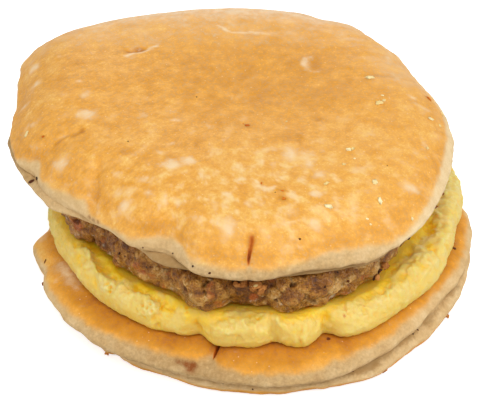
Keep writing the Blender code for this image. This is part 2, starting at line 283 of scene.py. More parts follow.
def line_distance(x, y, line):
    """Distance in plan from a broken line."""
    least = np.full(x.shape, 1e9)
    for (ax, ay), (bx, by) in zip(line[:-1], line[1:]):
        ux, uy = bx - ax, by - ay
        share = np.clip(((x - ax) * ux + (y - ay) * uy) / (ux * ux + uy * uy), 0, 1)
        least = np.minimum(least, np.hypot(x - ax - share * ux, y - ay - share * uy))
    return least


def stroke(x, y, line, width):
    """A soft line in plan, 1 along its middle."""
    return bell(line_distance(x, y, line), width)


# Form shared with the CAD layers


def turn_from(degrees, at):
    """Signed turn from an angle, half a circle at most."""
    return (degrees - at + 180) % 360 - 180


def rim_push(angle, lobes):
    """Sum of a rim's lobes at an angle in radians."""
    push = np.zeros_like(angle)
    for at, half_width, out in lobes:
        push += out * bell(turn_from(np.degrees(angle), at), half_width)
    return push


def swell_rise(x, y, swells):
    """Sum of round hollows and swells."""
    rise = np.zeros_like(x)
    for at_x, at_y, across, high in swells:
        rise += high * blot(x, y, at_x, at_y, across, across)
    return rise


def tilt_rise(y):
    """Straight rise towards the back, from the patty's front rim."""
    return TILT * (y + PATTY_RADIUS)


def even_steps(length, spacing):
    """Places from 0 to length, this far apart: spacing is a list of (place, distance)."""
    fine = np.linspace(0, length, 4000)
    count = np.concatenate([[0], np.cumsum(np.diff(fine) / np.interp(fine[1:], *zip(*spacing)))])
    return np.interp(np.linspace(0, count[-1], int(count[-1]) + 1), count, fine)


def section_rings(section, radius, spacing):
    """Radius and height of each ring: a smooth curve through the half section's points, by
    cubic pieces whose slopes at the points are the chords' mean, cut at even steps."""
    points = np.array([(radius - inset, height) for inset, height in section])
    chord = np.concatenate([[0], np.cumsum(np.hypot(*np.diff(points, axis=0).T))])
    slope = np.gradient(points, chord, axis=0)
    place = even_steps(chord[-1], spacing)
    i = np.clip(np.searchsorted(chord, place, side="right") - 1, 0, len(chord) - 2)
    step = chord[i + 1] - chord[i]
    t = ((place - chord[i]) / step)[:, None]
    step = step[:, None]
    curve = (
        (2 * t**3 - 3 * t**2 + 1) * points[i] + (t**3 - 2 * t**2 + t) * step * slope[i]
        + (3 * t**2 - 2 * t**3) * points[i + 1] + (t**3 - t**2) * step * slope[i + 1]
    )
    curve[0, 0] = curve[-1, 0] = 0
    return curve[:, :1], curve[:, 1:]


def angles_round(count, closer):
    """Angles once round, closer together near some: (angle, half width, how many times)."""
    fine = np.linspace(-180, 180, 20001)
    density = np.ones_like(fine)
    for at, half_width, times in closer:
        density += (times - 1) * bell(turn_from(fine, at), half_width)
    total = np.concatenate([[0], np.cumsum((density[1:] + density[:-1]) / 2)])
    places = np.interp(np.arange(count) / count * total[-1], total, fine)
    return np.radians(places)[None]


def turned_grid(section, radius, spacing, count, closer):
    """Angle, radius and height at each point of a half section turned round the Z axis."""
    return np.broadcast_arrays(angles_round(count, closer), *section_rings(section, radius, spacing))


def pancake_rim(angle, height, crease, upper_lobes, lower_lobes):
    """Radius of a pancake's rim: the lower lip's below the crease, the upper lip's above."""
    upper = PANCAKE_RADIUS + rim_push(angle, upper_lobes)
    lower = PANCAKE_RADIUS + rim_push(angle, lower_lobes) - LOWER_LIP_INSET
    share = ease(height, crease - CREASE_HALF_WIDTH, crease + CREASE_HALF_WIDTH)
    return lower + (upper - lower) * share


def pushed_rim(angle, radius, rim_radius, width, lobes):
    """How near each point is to the rim, from 0 to 1, and its radius once the lobes push it."""
    start, full = width
    near_rim = ease(radius, rim_radius - start, rim_radius - full)
    return near_rim, radius * (1 + rim_push(angle, lobes) * near_rim / rim_radius)


def beyond_rim(x, y, middle, radius, lobes):
    """Distance in plan outside a layer's rim."""
    x, y = x - middle[0], y - middle[1]
    return np.hypot(x, y) - radius - rim_push(np.arctan2(y, x), lobes)


def normals_of(points):
    """Normals of a grid from the differences between its neighbours; a pole points along Z."""
    around = np.roll(points, -1, 1) - np.roll(points, 1, 1)
    down = np.gradient(points, axis=0)
    normal = np.cross(down, around)
    normal /= np.linalg.norm(normal, axis=-1, keepdims=True) + 1e-9
    normal[0], normal[-1] = (0, 0, 1), (0, 0, -1)
    return normal


def moved(points, height):
    """The grid moved along its normals."""
    return points + normals_of(points) * height[..., None]


def crease_shade(points, height, crease, seed):
    """1 in the crease between a pancake's lips, wandering a little up and down."""
    wander = 0.5 * rough(points, 6, 3, seed)
    return bell(height - crease - wander, 0.6) * ease(lumps(points, 9, seed + 5), -0.9, 0.0)


# Meshes


def place_mesh(name, points, faces, masks, material, replaced=None):
    """Puts points and faces into the scene as one piece that rides on the root body."""
    mesh = bpy.data.meshes.new(name)
    mesh.from_pydata((points * MM).tolist(), [], faces)
    for key, values in masks.items():
        mesh.attributes.new(key, "FLOAT", "POINT").data.foreach_set("value", values)
    mesh.materials.append(material)
    mesh.shade_smooth()
    piece = bpy.data.objects.new(name, mesh)
    bpy.context.scene.collection.objects.link(piece)
    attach(piece, "root")
    if replaced:
        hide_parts(replaced)


def grid_faces(rings, around, first=0):
    """Quads between rings and a fan of triangles at each pole, all facing outwards."""
    step = np.arange(around)
    after = (step + 1) % around
    row = first + 1 + np.arange(rings - 3)[:, None] * around
    quads = np.stack([row + step, row + around + step, row + around + after, row + after], -1)
    last_row = first + 1 + (rings - 3) * around
    base_pole = last_row + around
    top = np.stack([np.full(around, first), first + 1 + step, first + 1 + after], -1)
    base = np.stack([np.full(around, base_pole), last_row + after, last_row + step], -1)
    return quads.reshape(-1, 4).tolist() + top.tolist() + base.tolist()


def one_pole_each(values):
    """A grid's values as one list: the top pole once, the rings between, the base pole once."""
    rings = values[1:-1].reshape((-1,) + values.shape[2:])
    return np.concatenate([values[0][:1], rings, values[-1][:1]])


def place_layer(name, points, masks, material, replaced):
    """Puts a closed grid with its masks into the scene in place of a CAD node."""
    masks = {key: one_pole_each(values) for key, values in masks.items()}
    faces = grid_faces(*points.shape[:2])
    place_mesh(name, one_pole_each(points), faces, masks, material, replaced)


# The upper pancake

UPPER_SPACING = [(0, 1.6), (10, 0.75), (44, 0.55), (50, 0.3), (62, 0.22), (65, 0.5), (72, 4), (115, 4)]
UPPER_STEPS = 640
UPPER_LIP_DROP = 0.30
UPPER_SLIT_WIDTH = 0.34
# Where the overhanging rim sags, in the terms of the lobes
UPPER_LIP_SAG = [(-52, 11, 0.8), (-68, 7, -0.4), (-104, 12, 0.25), (-133, 12, 0.5)]
# Turn in plan of the fine streaks on the crust
STREAK_TURN = 38.0

# Pale patches of the crust: (x, y, half length, half width, strength, and a turn if it has one)
PALE_PATCHES = [
    (-17.5, -17.7, 2.1, 1.9, 1.0), (-14.0, -16.4, 1.8, 1.6, 0.9), (-19.8, -12.8, 1.4, 1.0, 0.7),
    (-16.9, -0.7, 1.5, 1.0, 0.8), (-41.9, -12.4, 2.5, 1.9, 0.75), (-27.1, -27.3, 1.7, 1.6, 0.8),
    (-22.0, -25.9, 1.2, 1.1, 0.6), (-19.0, -28.0, 1.2, 2.1, 0.7), (-15.5, -28.9, 1.0, 1.7, 0.7),
    (-10.1, -21.1, 1.8, 1.0, 0.4), (-50.6, 1.5, 1.1, 1.9, 0.5), (-41.9, -5.0, 1.9, 0.4, 0.55),
    (-49.5, 17.7, 1.7, 1.1, 0.9, 38), (-50.6, 25.2, 1.1, 2.3, 0.8), (-39.1, 13.6, 1.1, 1.0, 0.6),
    (-37.5, 8.2, 1.3, 1.5, 0.65), (-36.9, 1.1, 2.4, 1.7, 0.85), (-44.8, 25.4, 0.7, 0.8, 0.5),
    (-37.0, 25.9, 0.7, 1.0, 0.4), (-48.5, 1.6, 1.1, 1.5, 0.6), (-52.0, 11.1, 1.2, 1.2, 0.6),
    (-24.9, 35.1, 0.9, 0.6, 0.4), (-28.1, 23.6, 1.9, 0.8, 0.4), (36.2, 9.8, 1.1, 1.2, 0.8),
    (38.3, 7.1, 2.0, 0.8, 0.7), (28.0, 34.2, 2.0, 0.9, 0.6, -20), (31.3, 26.1, 1.8, 1.1, 0.6, -20),
    (33.4, 16.9, 2.2, 0.8, 0.5, -20), (8.2, -13.4, 2.0, 2.9, 0.8), (12.2, -17.4, 1.7, 2.0, 0.75),
    (14.4, -20.8, 1.8, 1.8, 0.8), (13.6, -27.3, 1.4, 1.2, 0.85), (34.3, -21.0, 2.5, 1.5, 0.8),
    (4.8, -17.8, 0.9, 1.9, 0.5), (38.2, -5.7, 1.1, 1.9, 0.45), (2.2, -31.2, 1.7, 1.1, 0.5),
    (15.4, -12.4, 1.1, 1.4, 0.4), (-0.8, -30.8, 1.1, 1.5, 0.6), (8.0, -32.2, 2.0, 1.7, 0.5),
    (25.0, -25.2, 1.8, 1.4, 0.35), (31.1, -13.7, 1.3, 1.5, 0.3), (-5.0, -36.9, 1.8, 3.2, 0.8),
    (13.3, -35.1, 1.3, 1.9, 0.75), (2.7, -38.6, 1.6, 2.5, 0.5), (-8.0, -31.4, 1.1, 2.6, 0.5),
    (-11.8, -34.0, 1.3, 1.9, 0.35), (5.9, -39.3, 1.3, 1.5, 0.3),
]
# Browner streaks and freckles of the crust, in the same terms
BROWN_FRECKLES = [
    (-16.6, 42.7, 1.5, 1.6, 0.45), (11.0, 45.2, 2.4, 1.6, 0.55), (-46.6, -3.6, 0.5, 0.6, 0.9),
    (-27.7, -12.9, 1.9, 1.7, 0.45, 20), (-12.1, -9.8, 0.8, 2.0, 0.65, -8), (-1.1, -2.1, 0.5, 0.55, 1.3),
    (40.2, 13.8, 0.6, 0.6, 1.3, -20), (6.5, -26.5, 1.1, 0.7, 0.9, -20), (6.6, -28.8, 0.8, 0.8, 1.0),
    (2.1, -24.1, 0.4, 0.8, 0.9), (5.5, -24.1, 0.6, 0.4, 0.7), (10.6, -8.5, 0.7, 2.3, 0.7, 14),
    (14.7, -0.4, 0.9, 0.5, 0.6), (-37.6, -4.6, 0.9, 0.8, 0.7), (-33.4, -18.0, 0.8, 2.6, 0.45, -8),
    (-40.5, 21.0, 1.8, 0.9, 0.35, 15), (-24.1, -21.3, 1.5, 1.3, 0.4), (4.9, -31.2, 1.2, 1.2, 0.35),
    (14.3, 20.9, 1.1, 1.9, 0.55, 10), (29.5, 16.4, 3.2, 0.5, 0.35, 4), (20.5, 7.5, 0.8, 0.7, 0.2),
    (-22.0, 5.5, 2.6, 0.5, 0.3, 5),
]
# Soft brown smudges on the rim: (x, y, z, radius)
RIM_SMUDGES = [
    (-35.0, -24.8, 29.5, 0.6), (-34.0, -25.8, 29.4, 0.6), (-33.0, -26.7, 29.6, 0.6),
    (-23.6, -34.5, 29.5, 0.4), (-21.9, -34.9, 29.0, 0.5), (23.1, -38.4, 27.4, 0.9),
]

# Slit, hollows and creases of the crust, as broken lines in plan
SLIT_LINE = [(0.15, -38.6), (-0.15, -40.6), (-0.75, -43.6), (-0.8, -47.0)]
ARC_CREASE = [
    (-7.8, 36.3), (-6.1, 34.8), (-4.7, 34.0), (-1.6, 33.6), (2.3, 33.4), (4.7, 32.6), (6.8, 31.3),
]
CRESCENT = [(13.4, 23.4), (12.4, 22.6), (11.9, 21.0), (12.1, 18.9), (13.2, 17.7), (15.0, 17.3)]
BACK_HOLLOW = [(-28.5, 26.6), (-26.9, 26.9), (-25.5, 27.4)]
BACK_HOLLOW_RIM = [(-29.6, 24.2), (-28.4, 24.8), (-25.9, 25.7), (-23.7, 27.1), (-21.8, 28.4)]
LEFT_CREASE = [(-43.4, -6.3), (-41.2, -5.2), (-39.2, -5.4), (-37.3, -4.3)]
LEFT_FURROW = [(-33.5, -15.8), (-33.8, -20.1), (-34.6, -22.8), (-36.0, -26.5)]
RIGHT_CREASE = [(21.5, 16.2), (26.0, 15.9), (30.5, 16.4), (34.5, 17.4), (38.4, 19.6)]
# Relief along them: (line, width, rise, how far behind the line)
CRUST_RELIEF = [
    (BACK_HOLLOW, 0.9, -0.75, 0), (BACK_HOLLOW_RIM, 0.8, 0.10, 0), (ARC_CREASE, 0.8, 0.10, 0),
    (ARC_CREASE, 1.6, -0.22, 1.5), (LEFT_CREASE, 0.6, -0.16, 0), (LEFT_FURROW, 1.5, -0.75, 0),
    (RIGHT_CREASE, 0.7, -0.14, 0), (CRESCENT, 0.9, 0.20, 0),
]


def upper_pancake(material):
    """The CAD form, then soft waves, the hollows, creases and the slit of the crust, and
    wobbling lips with fine wrinkles that run round the side."""
    closer = [(UPPER_SLIT_ANGLE, 2.0, 3.0), (-90, 55, 1.5)]
    angle, radius, over_base = turned_grid(
        UPPER_PANCAKE_SECTION, PANCAKE_RADIUS, UPPER_SPACING, UPPER_STEPS, closer
    )
    degrees = np.degrees(angle)
    upper_lobes = UPPER_PANCAKE_UPPER_LIP + UPPER_PANCAKE_UPPER_LIP_FINER
    lower_lobes = UPPER_PANCAKE_LOWER_LIP + UPPER_PANCAKE_LOWER_LIP_FINER
    rim = pancake_rim(angle, over_base, UPPER_CREASE, upper_lobes, lower_lobes)
    on_crust = ease(radius, PANCAKE_RADIUS, PANCAKE_RADIUS - CRUST_FADE)
    on_crust = on_crust * ease(over_base, UPPER_CREASE, 2 * UPPER_CREASE)
    radius = radius * rim / PANCAKE_RADIUS
    x, y = radius * np.cos(angle), radius * np.sin(angle)
    height = over_base * (1 + UPPER_PANCAKE_SLOPE * y / PANCAKE_RADIUS)
    height = height + swell_rise(x, y, CRUST_SWELLS) * on_crust
    height = height + tilt_rise(UPPER_PANCAKE_MIDDLE[1] + y)
    hanging = ease(radius, 44.0, 49.0) * ease(over_base, 8.0, 3.0)
    height = height - (UPPER_LIP_DROP + rim_push(angle, UPPER_LIP_SAG)) * hanging
    x, y = UPPER_PANCAKE_MIDDLE[0] + x, UPPER_PANCAKE_MIDDLE[1] + y
    points = np.stack([x, y, UPPER_PANCAKE_BASE + height], -1)

    # Side and lips
    at_base = ease(over_base, 0.1, 0.8)
    on_side = ease(over_base, 9.5, 6.0) * at_base
    wobble = 0.42 * rough(points, 8, 3, 5) + 0.20 * rough(points * ALONG_RIM, 1.6, 3, 9)
    filled = bell(over_base - UPPER_CREASE, 0.6) * (0.25 + 0.15 * bell(degrees + 152, 26))
    points = moved(points, wobble * on_side + filled)
    back_rim = ease(points[..., 1], 10, 30)
    points = moved(points, 0.35 * rough(points, 5, 2, 14) * on_side * back_rim)

    # Crust
    waves = 0.22 * lumps(points, 15, 21) + 0.12 * rough(points, 6, 2, 22)
    waves += 0.035 * rough(points, 2.2, 2, 23)
    wx = points[..., 0] + 0.7 * lumps(points, 2.6, 24)
    wy = points[..., 1] + 0.7 * lumps(points, 2.6, 25)
    hollows = -0.30 * blot(wx, wy, 14.4, 20.8, 1.2, 2.2)
    for line, width, rise, behind in CRUST_RELIEF:
        hollows += rise * stroke(wx, wy - behind, line, width)
    wrinkled = ease(wy - 0.25 * wx, 8, 16) * ease(wx, 8, 26)
    hollows += 0.24 * rough(points * (0.45, 1.0, 1.0), 2.2, 3, 26) * wrinkled
    points = moved(points, waves * ease(over_base, 5.0, 8.5) + hollows * ease(over_base, 3.0, 6.0))

    slit = line_distance(points[..., 0], points[..., 1], SLIT_LINE)
    slit_ends = ease(points[..., 2], 30.3, 32.3) * ease(points[..., 1], -37.8, -39.4)
    cut = np.clip(1 - slit / UPPER_SLIT_WIDTH, 0, 1) * slit_ends * (over_base > 3)
    pinch = bell(slit, 1.5) * ease(points[..., 1], -38.0, -40.5) * (over_base > 2)
    points = moved(points, -0.5 * cut - 0.3 * pinch)

    # Masks for the material
    x, y, _ = np.moveaxis(warp(points, 2.2, 41), -1, 0)
    front = blot(x, y, -4, -26, 30, 16)
    mottle = rough(points, 3.4, 4, 61, 0.65)
    # Browning of the crust, with painted shade: darker in the back hollow, along the left and right creases
    # and round the slit.
    browning_and_shade = (
        0.53 + 0.05 * lumps(points, 11, 51) + 0.05 * rough(points, 4.0, 3, 52)
        + 0.17 * blot(x, y, 1, 19, 27, 16) + 0.07 * blot(x, y, -4, -2, 24, 10)
        + 0.05 * blot(x, y, -40, 6, 14, 26) - 0.08 * front + 0.10 * ease(y, 33, 44)
        - (0.09 + 0.06 * front) * ease(mottle, -0.2, 0.9)
        + (0.05 + 0.08 * front) * ease(-mottle, -0.2, 0.9)
        + 0.42 * stroke(x, y, BACK_HOLLOW, 0.8) + 0.20 * stroke(x, y, LEFT_CREASE, 0.5)
        + 0.10 * stroke(x, y, RIGHT_CREASE, 0.5) + 0.30 * blots(x, y, BROWN_FRECKLES)
        + 0.11 * bell(over_base - 6.8, 1.4) * ease(y, 14, -6) + 0.26 * bell(slit, 1.1) * slit_ends
    )
    # Pale patches, mottle and crease lines of the crust, and a painted sheen: the two terms that rise
    # towards the back paint the back band paler, where the crust slopes away.
    pale = np.maximum.reduce([
        (0.38 + 0.54 * front) * ease(mottle, -0.45, 0.90) * ease(y, 34, 4),
        1.45 * blots(x, y, PALE_PATCHES),
        1.15 * stroke(wx, wy, ARC_CREASE, 0.55) * ease(wx, 7.5, 2.0),
        1.35 * stroke(wx, wy, BACK_HOLLOW_RIM, 0.5),
        0.55 * stroke(wx, wy, CRESCENT, 0.8) + 0.45 * blot(wx, wy, 12.1, 21.2, 1.1, 2.3, 10),
        (0.88 + 0.12 * mottle) * ease(y, 30, 44),
        0.35 * bell(over_base - 7.0, 1.6) * ease(x, 20, 34) * ease(y, -4, 8),
        0.62 * ease(x, 16, 34) * ease(y, 4, 20),
        0.50 * ease(y, 22, 34),
    ])
    edge = np.interp(degrees, *zip(*UPPER_CRUST_EDGE)) + 0.35 * rough(points, 3.2, 3, 81)
    side = ease(over_base - edge, 1.1, -0.9)
    fork = ease(points[..., 1], -43.5, -39.5)
    # Painted shade on the side: darker low on the lip, under its overhang, and on the front of the lip.
    low_lip = ease(over_base, 3.6, 0.8) * (0.64 - 0.42 * bell(degrees + 142, 26))
    low_lip += 0.56 * bell(degrees + 80, 30) * ease(over_base, 6.2, 4.6)
    points = moved(points, 0.02 * rough(points, 1.0, 2, 91) * at_base)
    masks = {
        "browning_and_shade": browning_and_shade,
        # The lip's side is painted paler on the right: painted light.
        "pale": pale * (1 - side) + 0.8 * side * ease(x, 24, 38),
        "side": side,
        # The slit: browned crust and painted shade in the crack.
        "slit_stain_and_shade": (0.76 - 0.32 * fork) * bell(slit, UPPER_SLIT_WIDTH + 0.44 * fork) * slit_ends,
        "smudge": 0.55 * near_points(points, RIM_SMUDGES),
        "streaks": ease(x, 4, -22),
        "grainy": 1.0 - 0.35 * front,
        "crease": 0.30 * crease_shade(points, over_base, UPPER_CREASE, 92) + low_lip,
    }
    place_layer("upper_pancake", points, masks, material, "pancake_upper")
    return points


# The lower pancake

LOWER_SPACING = [
    (0, 4), (30, 3), (36, 0.5), (46, 0.35), (52, 0.22), (63, 0.22), (66, 0.6), (72, 4), (115, 4),
]
LOWER_STEPS = 770
LOWER_SLIT_LINE = [(-6.4, -40.2), (-7.2, -43.1), (-8.5, -47.0)]
LOWER_SLIT_WIDTH = 0.16
# Parts of the brown smudge on the front lip: (place, reach each way, strength)
LOWER_SMUDGES = [
    ((-12.9, -48.2, 7.0), (1.3, 2.0, 1.0), 1.2), ((-14.3, -47.8, 7.3), (1.3, 2.0, 0.8), 0.9),
    ((-15.8, -47.4, 7.2), (1.3, 2.0, 0.7), 0.8),
]


def lower_pancake(material):
    """The CAD form, then soft waves of the crust, the slit, a dent at the right front and
    wobbling lips with fine wrinkles."""
    closer = [(LOWER_SLIT_ANGLE, 2.0, 3.0)]
    angle, radius, over_base = turned_grid(
        LOWER_PANCAKE_SECTION, PANCAKE_RADIUS, LOWER_SPACING, LOWER_STEPS, closer
    )
    degrees = np.degrees(angle)
    upper_lobes = LOWER_PANCAKE_UPPER_LIP + LOWER_PANCAKE_UPPER_LIP_FINER
    lower_lobes = LOWER_PANCAKE_LOWER_LIP + LOWER_PANCAKE_LOWER_LIP_FINER
    rim = pancake_rim(angle, over_base, LOWER_CREASE, upper_lobes, lower_lobes)
    radius = radius * rim / PANCAKE_RADIUS
    points = np.stack([radius * np.cos(angle), radius * np.sin(angle), over_base], -1)

    at_base = ease(over_base, 0.05, 0.8)
    wobble = 0.45 * rough(points, 9, 3, 105) + 0.22 * rough(points * ALONG_RIM, 1.7, 3, 109)
    points = moved(points, wobble * ease(over_base, 8.6, 7.0) * at_base)
    points = moved(points, -0.8 * blot(degrees, over_base, -37.5, 3.6, 3.2, 1.4))
    waves = 0.12 * rough(points, 7, 2, 122) + 0.03 * rough(points, 2.0, 2, 123)
    points = moved(points, waves * ease(over_base, 7.0, 8.5))

    slit = line_distance(points[..., 0], points[..., 1], LOWER_SLIT_LINE)
    reach = ease(points[..., 1], -47.1, -43.3)
    open_part = ease(points[..., 1], -47.1, -45.6) * ease(over_base, 6.6, 7.6)
    cut = np.clip(1 - slit / (LOWER_SLIT_WIDTH + 0.40 * reach), 0, 1) * open_part
    points = moved(points, -1.0 * cut - 0.35 * bell(slit, 1.6) * ease(over_base, 4.5, 6.5))

    # Masks for the material
    warped = warp(points, 2.2, 141)
    x, y, _ = np.moveaxis(warped, -1, 0)
    cloud = rough(points, 5, 4, 161, 0.6)
    from_egg = np.maximum(beyond_rim(x, y, EGG_MIDDLE, EGG_RADIUS, EGG_RIM) - 0.4, 0)
    under = ease(over_base + 0.3 * lumps(points, 3.0, 182), 2.3, 1.0)
    # Browning of the crust, with painted shade: darker just beside the egg's foot and round the slit.
    browning_and_shade = (
        0.55 + 0.25 * ease(over_base + 0.3 * cloud, 7.2, 8.9) + 0.08 * cloud
        + 0.09 * bell(from_egg, 1.8) + 0.02 * ease(x, 22, 34) * ease(y, 8, -8)
        - 0.12 * ease(x, -40, -47) + 0.10 * under + 0.12 * bell(slit, 1.3) * open_part
    )
    pale = blot(x, y, -41.2, -17.8, 7.5, 2.2, -64) + 0.7 * blot(x, y, -48.0, -2.0, 1.6, 3.2)
    pale += 0.30 * ease(rough(points, 3.4, 3, 162), 0.3, 0.9)
    edge = np.interp(degrees, *zip(*LOWER_CRUST_EDGE)) + 0.3 * rough(points, 3.2, 3, 181) - 0.15
    smudge = np.zeros_like(x)
    for place, reach_each_way, strength in LOWER_SMUDGES:
        away = np.linalg.norm((warped - np.array(place)) / reach_each_way, axis=-1)
        smudge = np.maximum(smudge, strength * bell(away, 1))
    points = moved(points, 0.02 * rough(points, 1.0, 2, 191) * at_base)
    points[..., 2] = np.maximum(points[..., 2], 0)
    # Painted shade on the side: darker in patches low on the lower lip, and over the front side.
    low_lip = ease(over_base, 3.6, 2.2) * ease(rough(points, 4.0, 3, 183), -0.5, 0.5)
    front_painted_shade = blot(x, y, -14, -56, 58, 34) * ease(over_base, 1.8, 3.8)
    masks = {
        "browning_and_shade": browning_and_shade,
        "pale": pale,
        "side": ease(over_base - edge, 0.75, -0.75) * (1 - 0.85 * under),
        # The slit: browned crust and painted shade in the crack.
        "slit_stain_and_shade": 0.80 * bell(slit, LOWER_SLIT_WIDTH + 0.36 * reach) * open_part,
        "smudge": smudge,
        "grainy": np.full_like(x, 0.4),
        "crease": 0.75 * crease_shade(points, over_base, LOWER_CREASE, 192) + 0.26 * low_lip
        + 0.66 * front_painted_shade + 0.3 * smudge,
    }
    place_layer("lower_pancake", points, masks, material, "pancake_lower")
    return points


# The egg

EGG_SPACING = [
    (0, 5), (24, 3), (30, 0.8), (34, 0.34), (42, 0.3), (57, 0.28), (60, 0.6), (64, 2.5), (72, 5),
    (106, 5),
]
EGG_STEPS = 880
# Valleys and ridges of the top, as broken lines in plan: (line, width, rise)
EGG_VALLEYS = [
    ([(-39.5, -17.5), (-37.2, -24.0), (-34.6, -28.2)], 1.0, -0.45),
    ([(-36.0, -16.5), (-33.6, -22.0), (-31.0, -26.5), (-29.0, -29.0)], 1.3, -0.5),
    ([(-24.0, -32.5), (-21.5, -35.6), (-17.0, -38.4)], 1.4, -0.9),
]
EGG_RIDGES = [
    ([(-38.0, -16.4), (-36.6, -19.8), (-35.2, -23.2), (-32.6, -27.6), (-31.1, -31.0)], 0.5, 0.45),
    ([(-12.8, -41.6), (-8.3, -44.2), (-2.7, -45.4), (4.5, -45.4), (8.0, -44.0)], 0.9, 0.6),
    ([(41.8, -14.5), (38.8, -21.0), (35.0, -25.6), (30.6, -31.6)], 0.8, 0.35),
]
# Golden hollows beside the patty: (x, y, half length, half width, depth, and a turn if it has one)
EGG_HOLLOWS = [
    (39.9, -8.0, 1.6, 4.2, 1.6), (39.9, -17.2, 1.6, 1.8, 1.5), (37.1, -23.2, 1.9, 1.4, 1.4, 20),
    (33.6, -27.2, 2.0, 1.3, 1.4, 20), (29.4, -30.4, 1.7, 1.2, 1.2, 20), (27.6, -32.8, 1.2, 1.5, 1.2),
    (25.5, -35.0, 1.5, 1.1, 0.9, 20), (24.3, -38.6, 1.3, 1.1, 0.6), (-1.0, -43.0, 7.0, 1.3, 0.8),
    (41.5, 4.0, 1.8, 4.5, 0.9), (36.6, -12.8, 1.4, 1.6, 1.0), (-41.5, -8.0, 1.6, 3.5, 0.7, 10),
    (34.6, -18.6, 1.5, 1.2, 0.8), (30.6, -25.0, 1.4, 1.0, 0.8, 30),
]
# Torn, bubbly places on the crest: (x, y, z, radius)
EGG_TEARS = [
    (-23.2, -38.2, 14.6, 2.3), (-31.6, -31.6, 15.0, 1.6), (-27.5, -34.8, 15.2, 1.6),
    (-14.6, -39.9, 16.3, 1.3), (2.0, -42.5, 16.6, 1.2), (30.0, -34.0, 15.4, 1.4),
    (-20.5, -37.5, 15.8, 1.5),
]
# Upright creases of the outer face: (angle, half width, depth)
EGG_CREASES = [
    (-117.5, 0.9, 0.6), (-106, 0.8, 0.8), (-85.5, 0.8, 0.35), (-79, 0.6, 0.45), (-71.5, 0.8, 0.7),
    (-48, 0.9, 0.2), (-130, 0.8, 0.2), (-20, 1.0, 0.4), (-4, 0.8, 0.3), (24, 0.9, 0.5), (51, 0.9, 0.5),
    (78, 0.9, 0.4), (112, 1.0, 0.5), (139, 0.9, 0.5), (165, 0.9, 0.4), (-152, 0.9, 0.3),
]
# Browned dots: (x, y, z, radius)
EGG_DOTS = [(34.9, -28.3, 15.3, 0.35), (19.7, -40.6, 14.8, 0.35), (24.0, -37.6, 15.0, 0.3)]


def lower_crust_height(x, y):
    """Height of the lower pancake's crust over a point in plan, out to its upper lip."""
    crust = LOWER_PANCAKE_SECTION[:10]
    radii = [PANCAKE_RADIUS - inset for inset, _ in crust]
    heights = [height for _, height in crust]
    rim = PANCAKE_RADIUS + rim_push(np.arctan2(y, x), LOWER_PANCAKE_UPPER_LIP)
    return np.interp(np.hypot(x, y) * PANCAKE_RADIUS / rim, radii, heights)


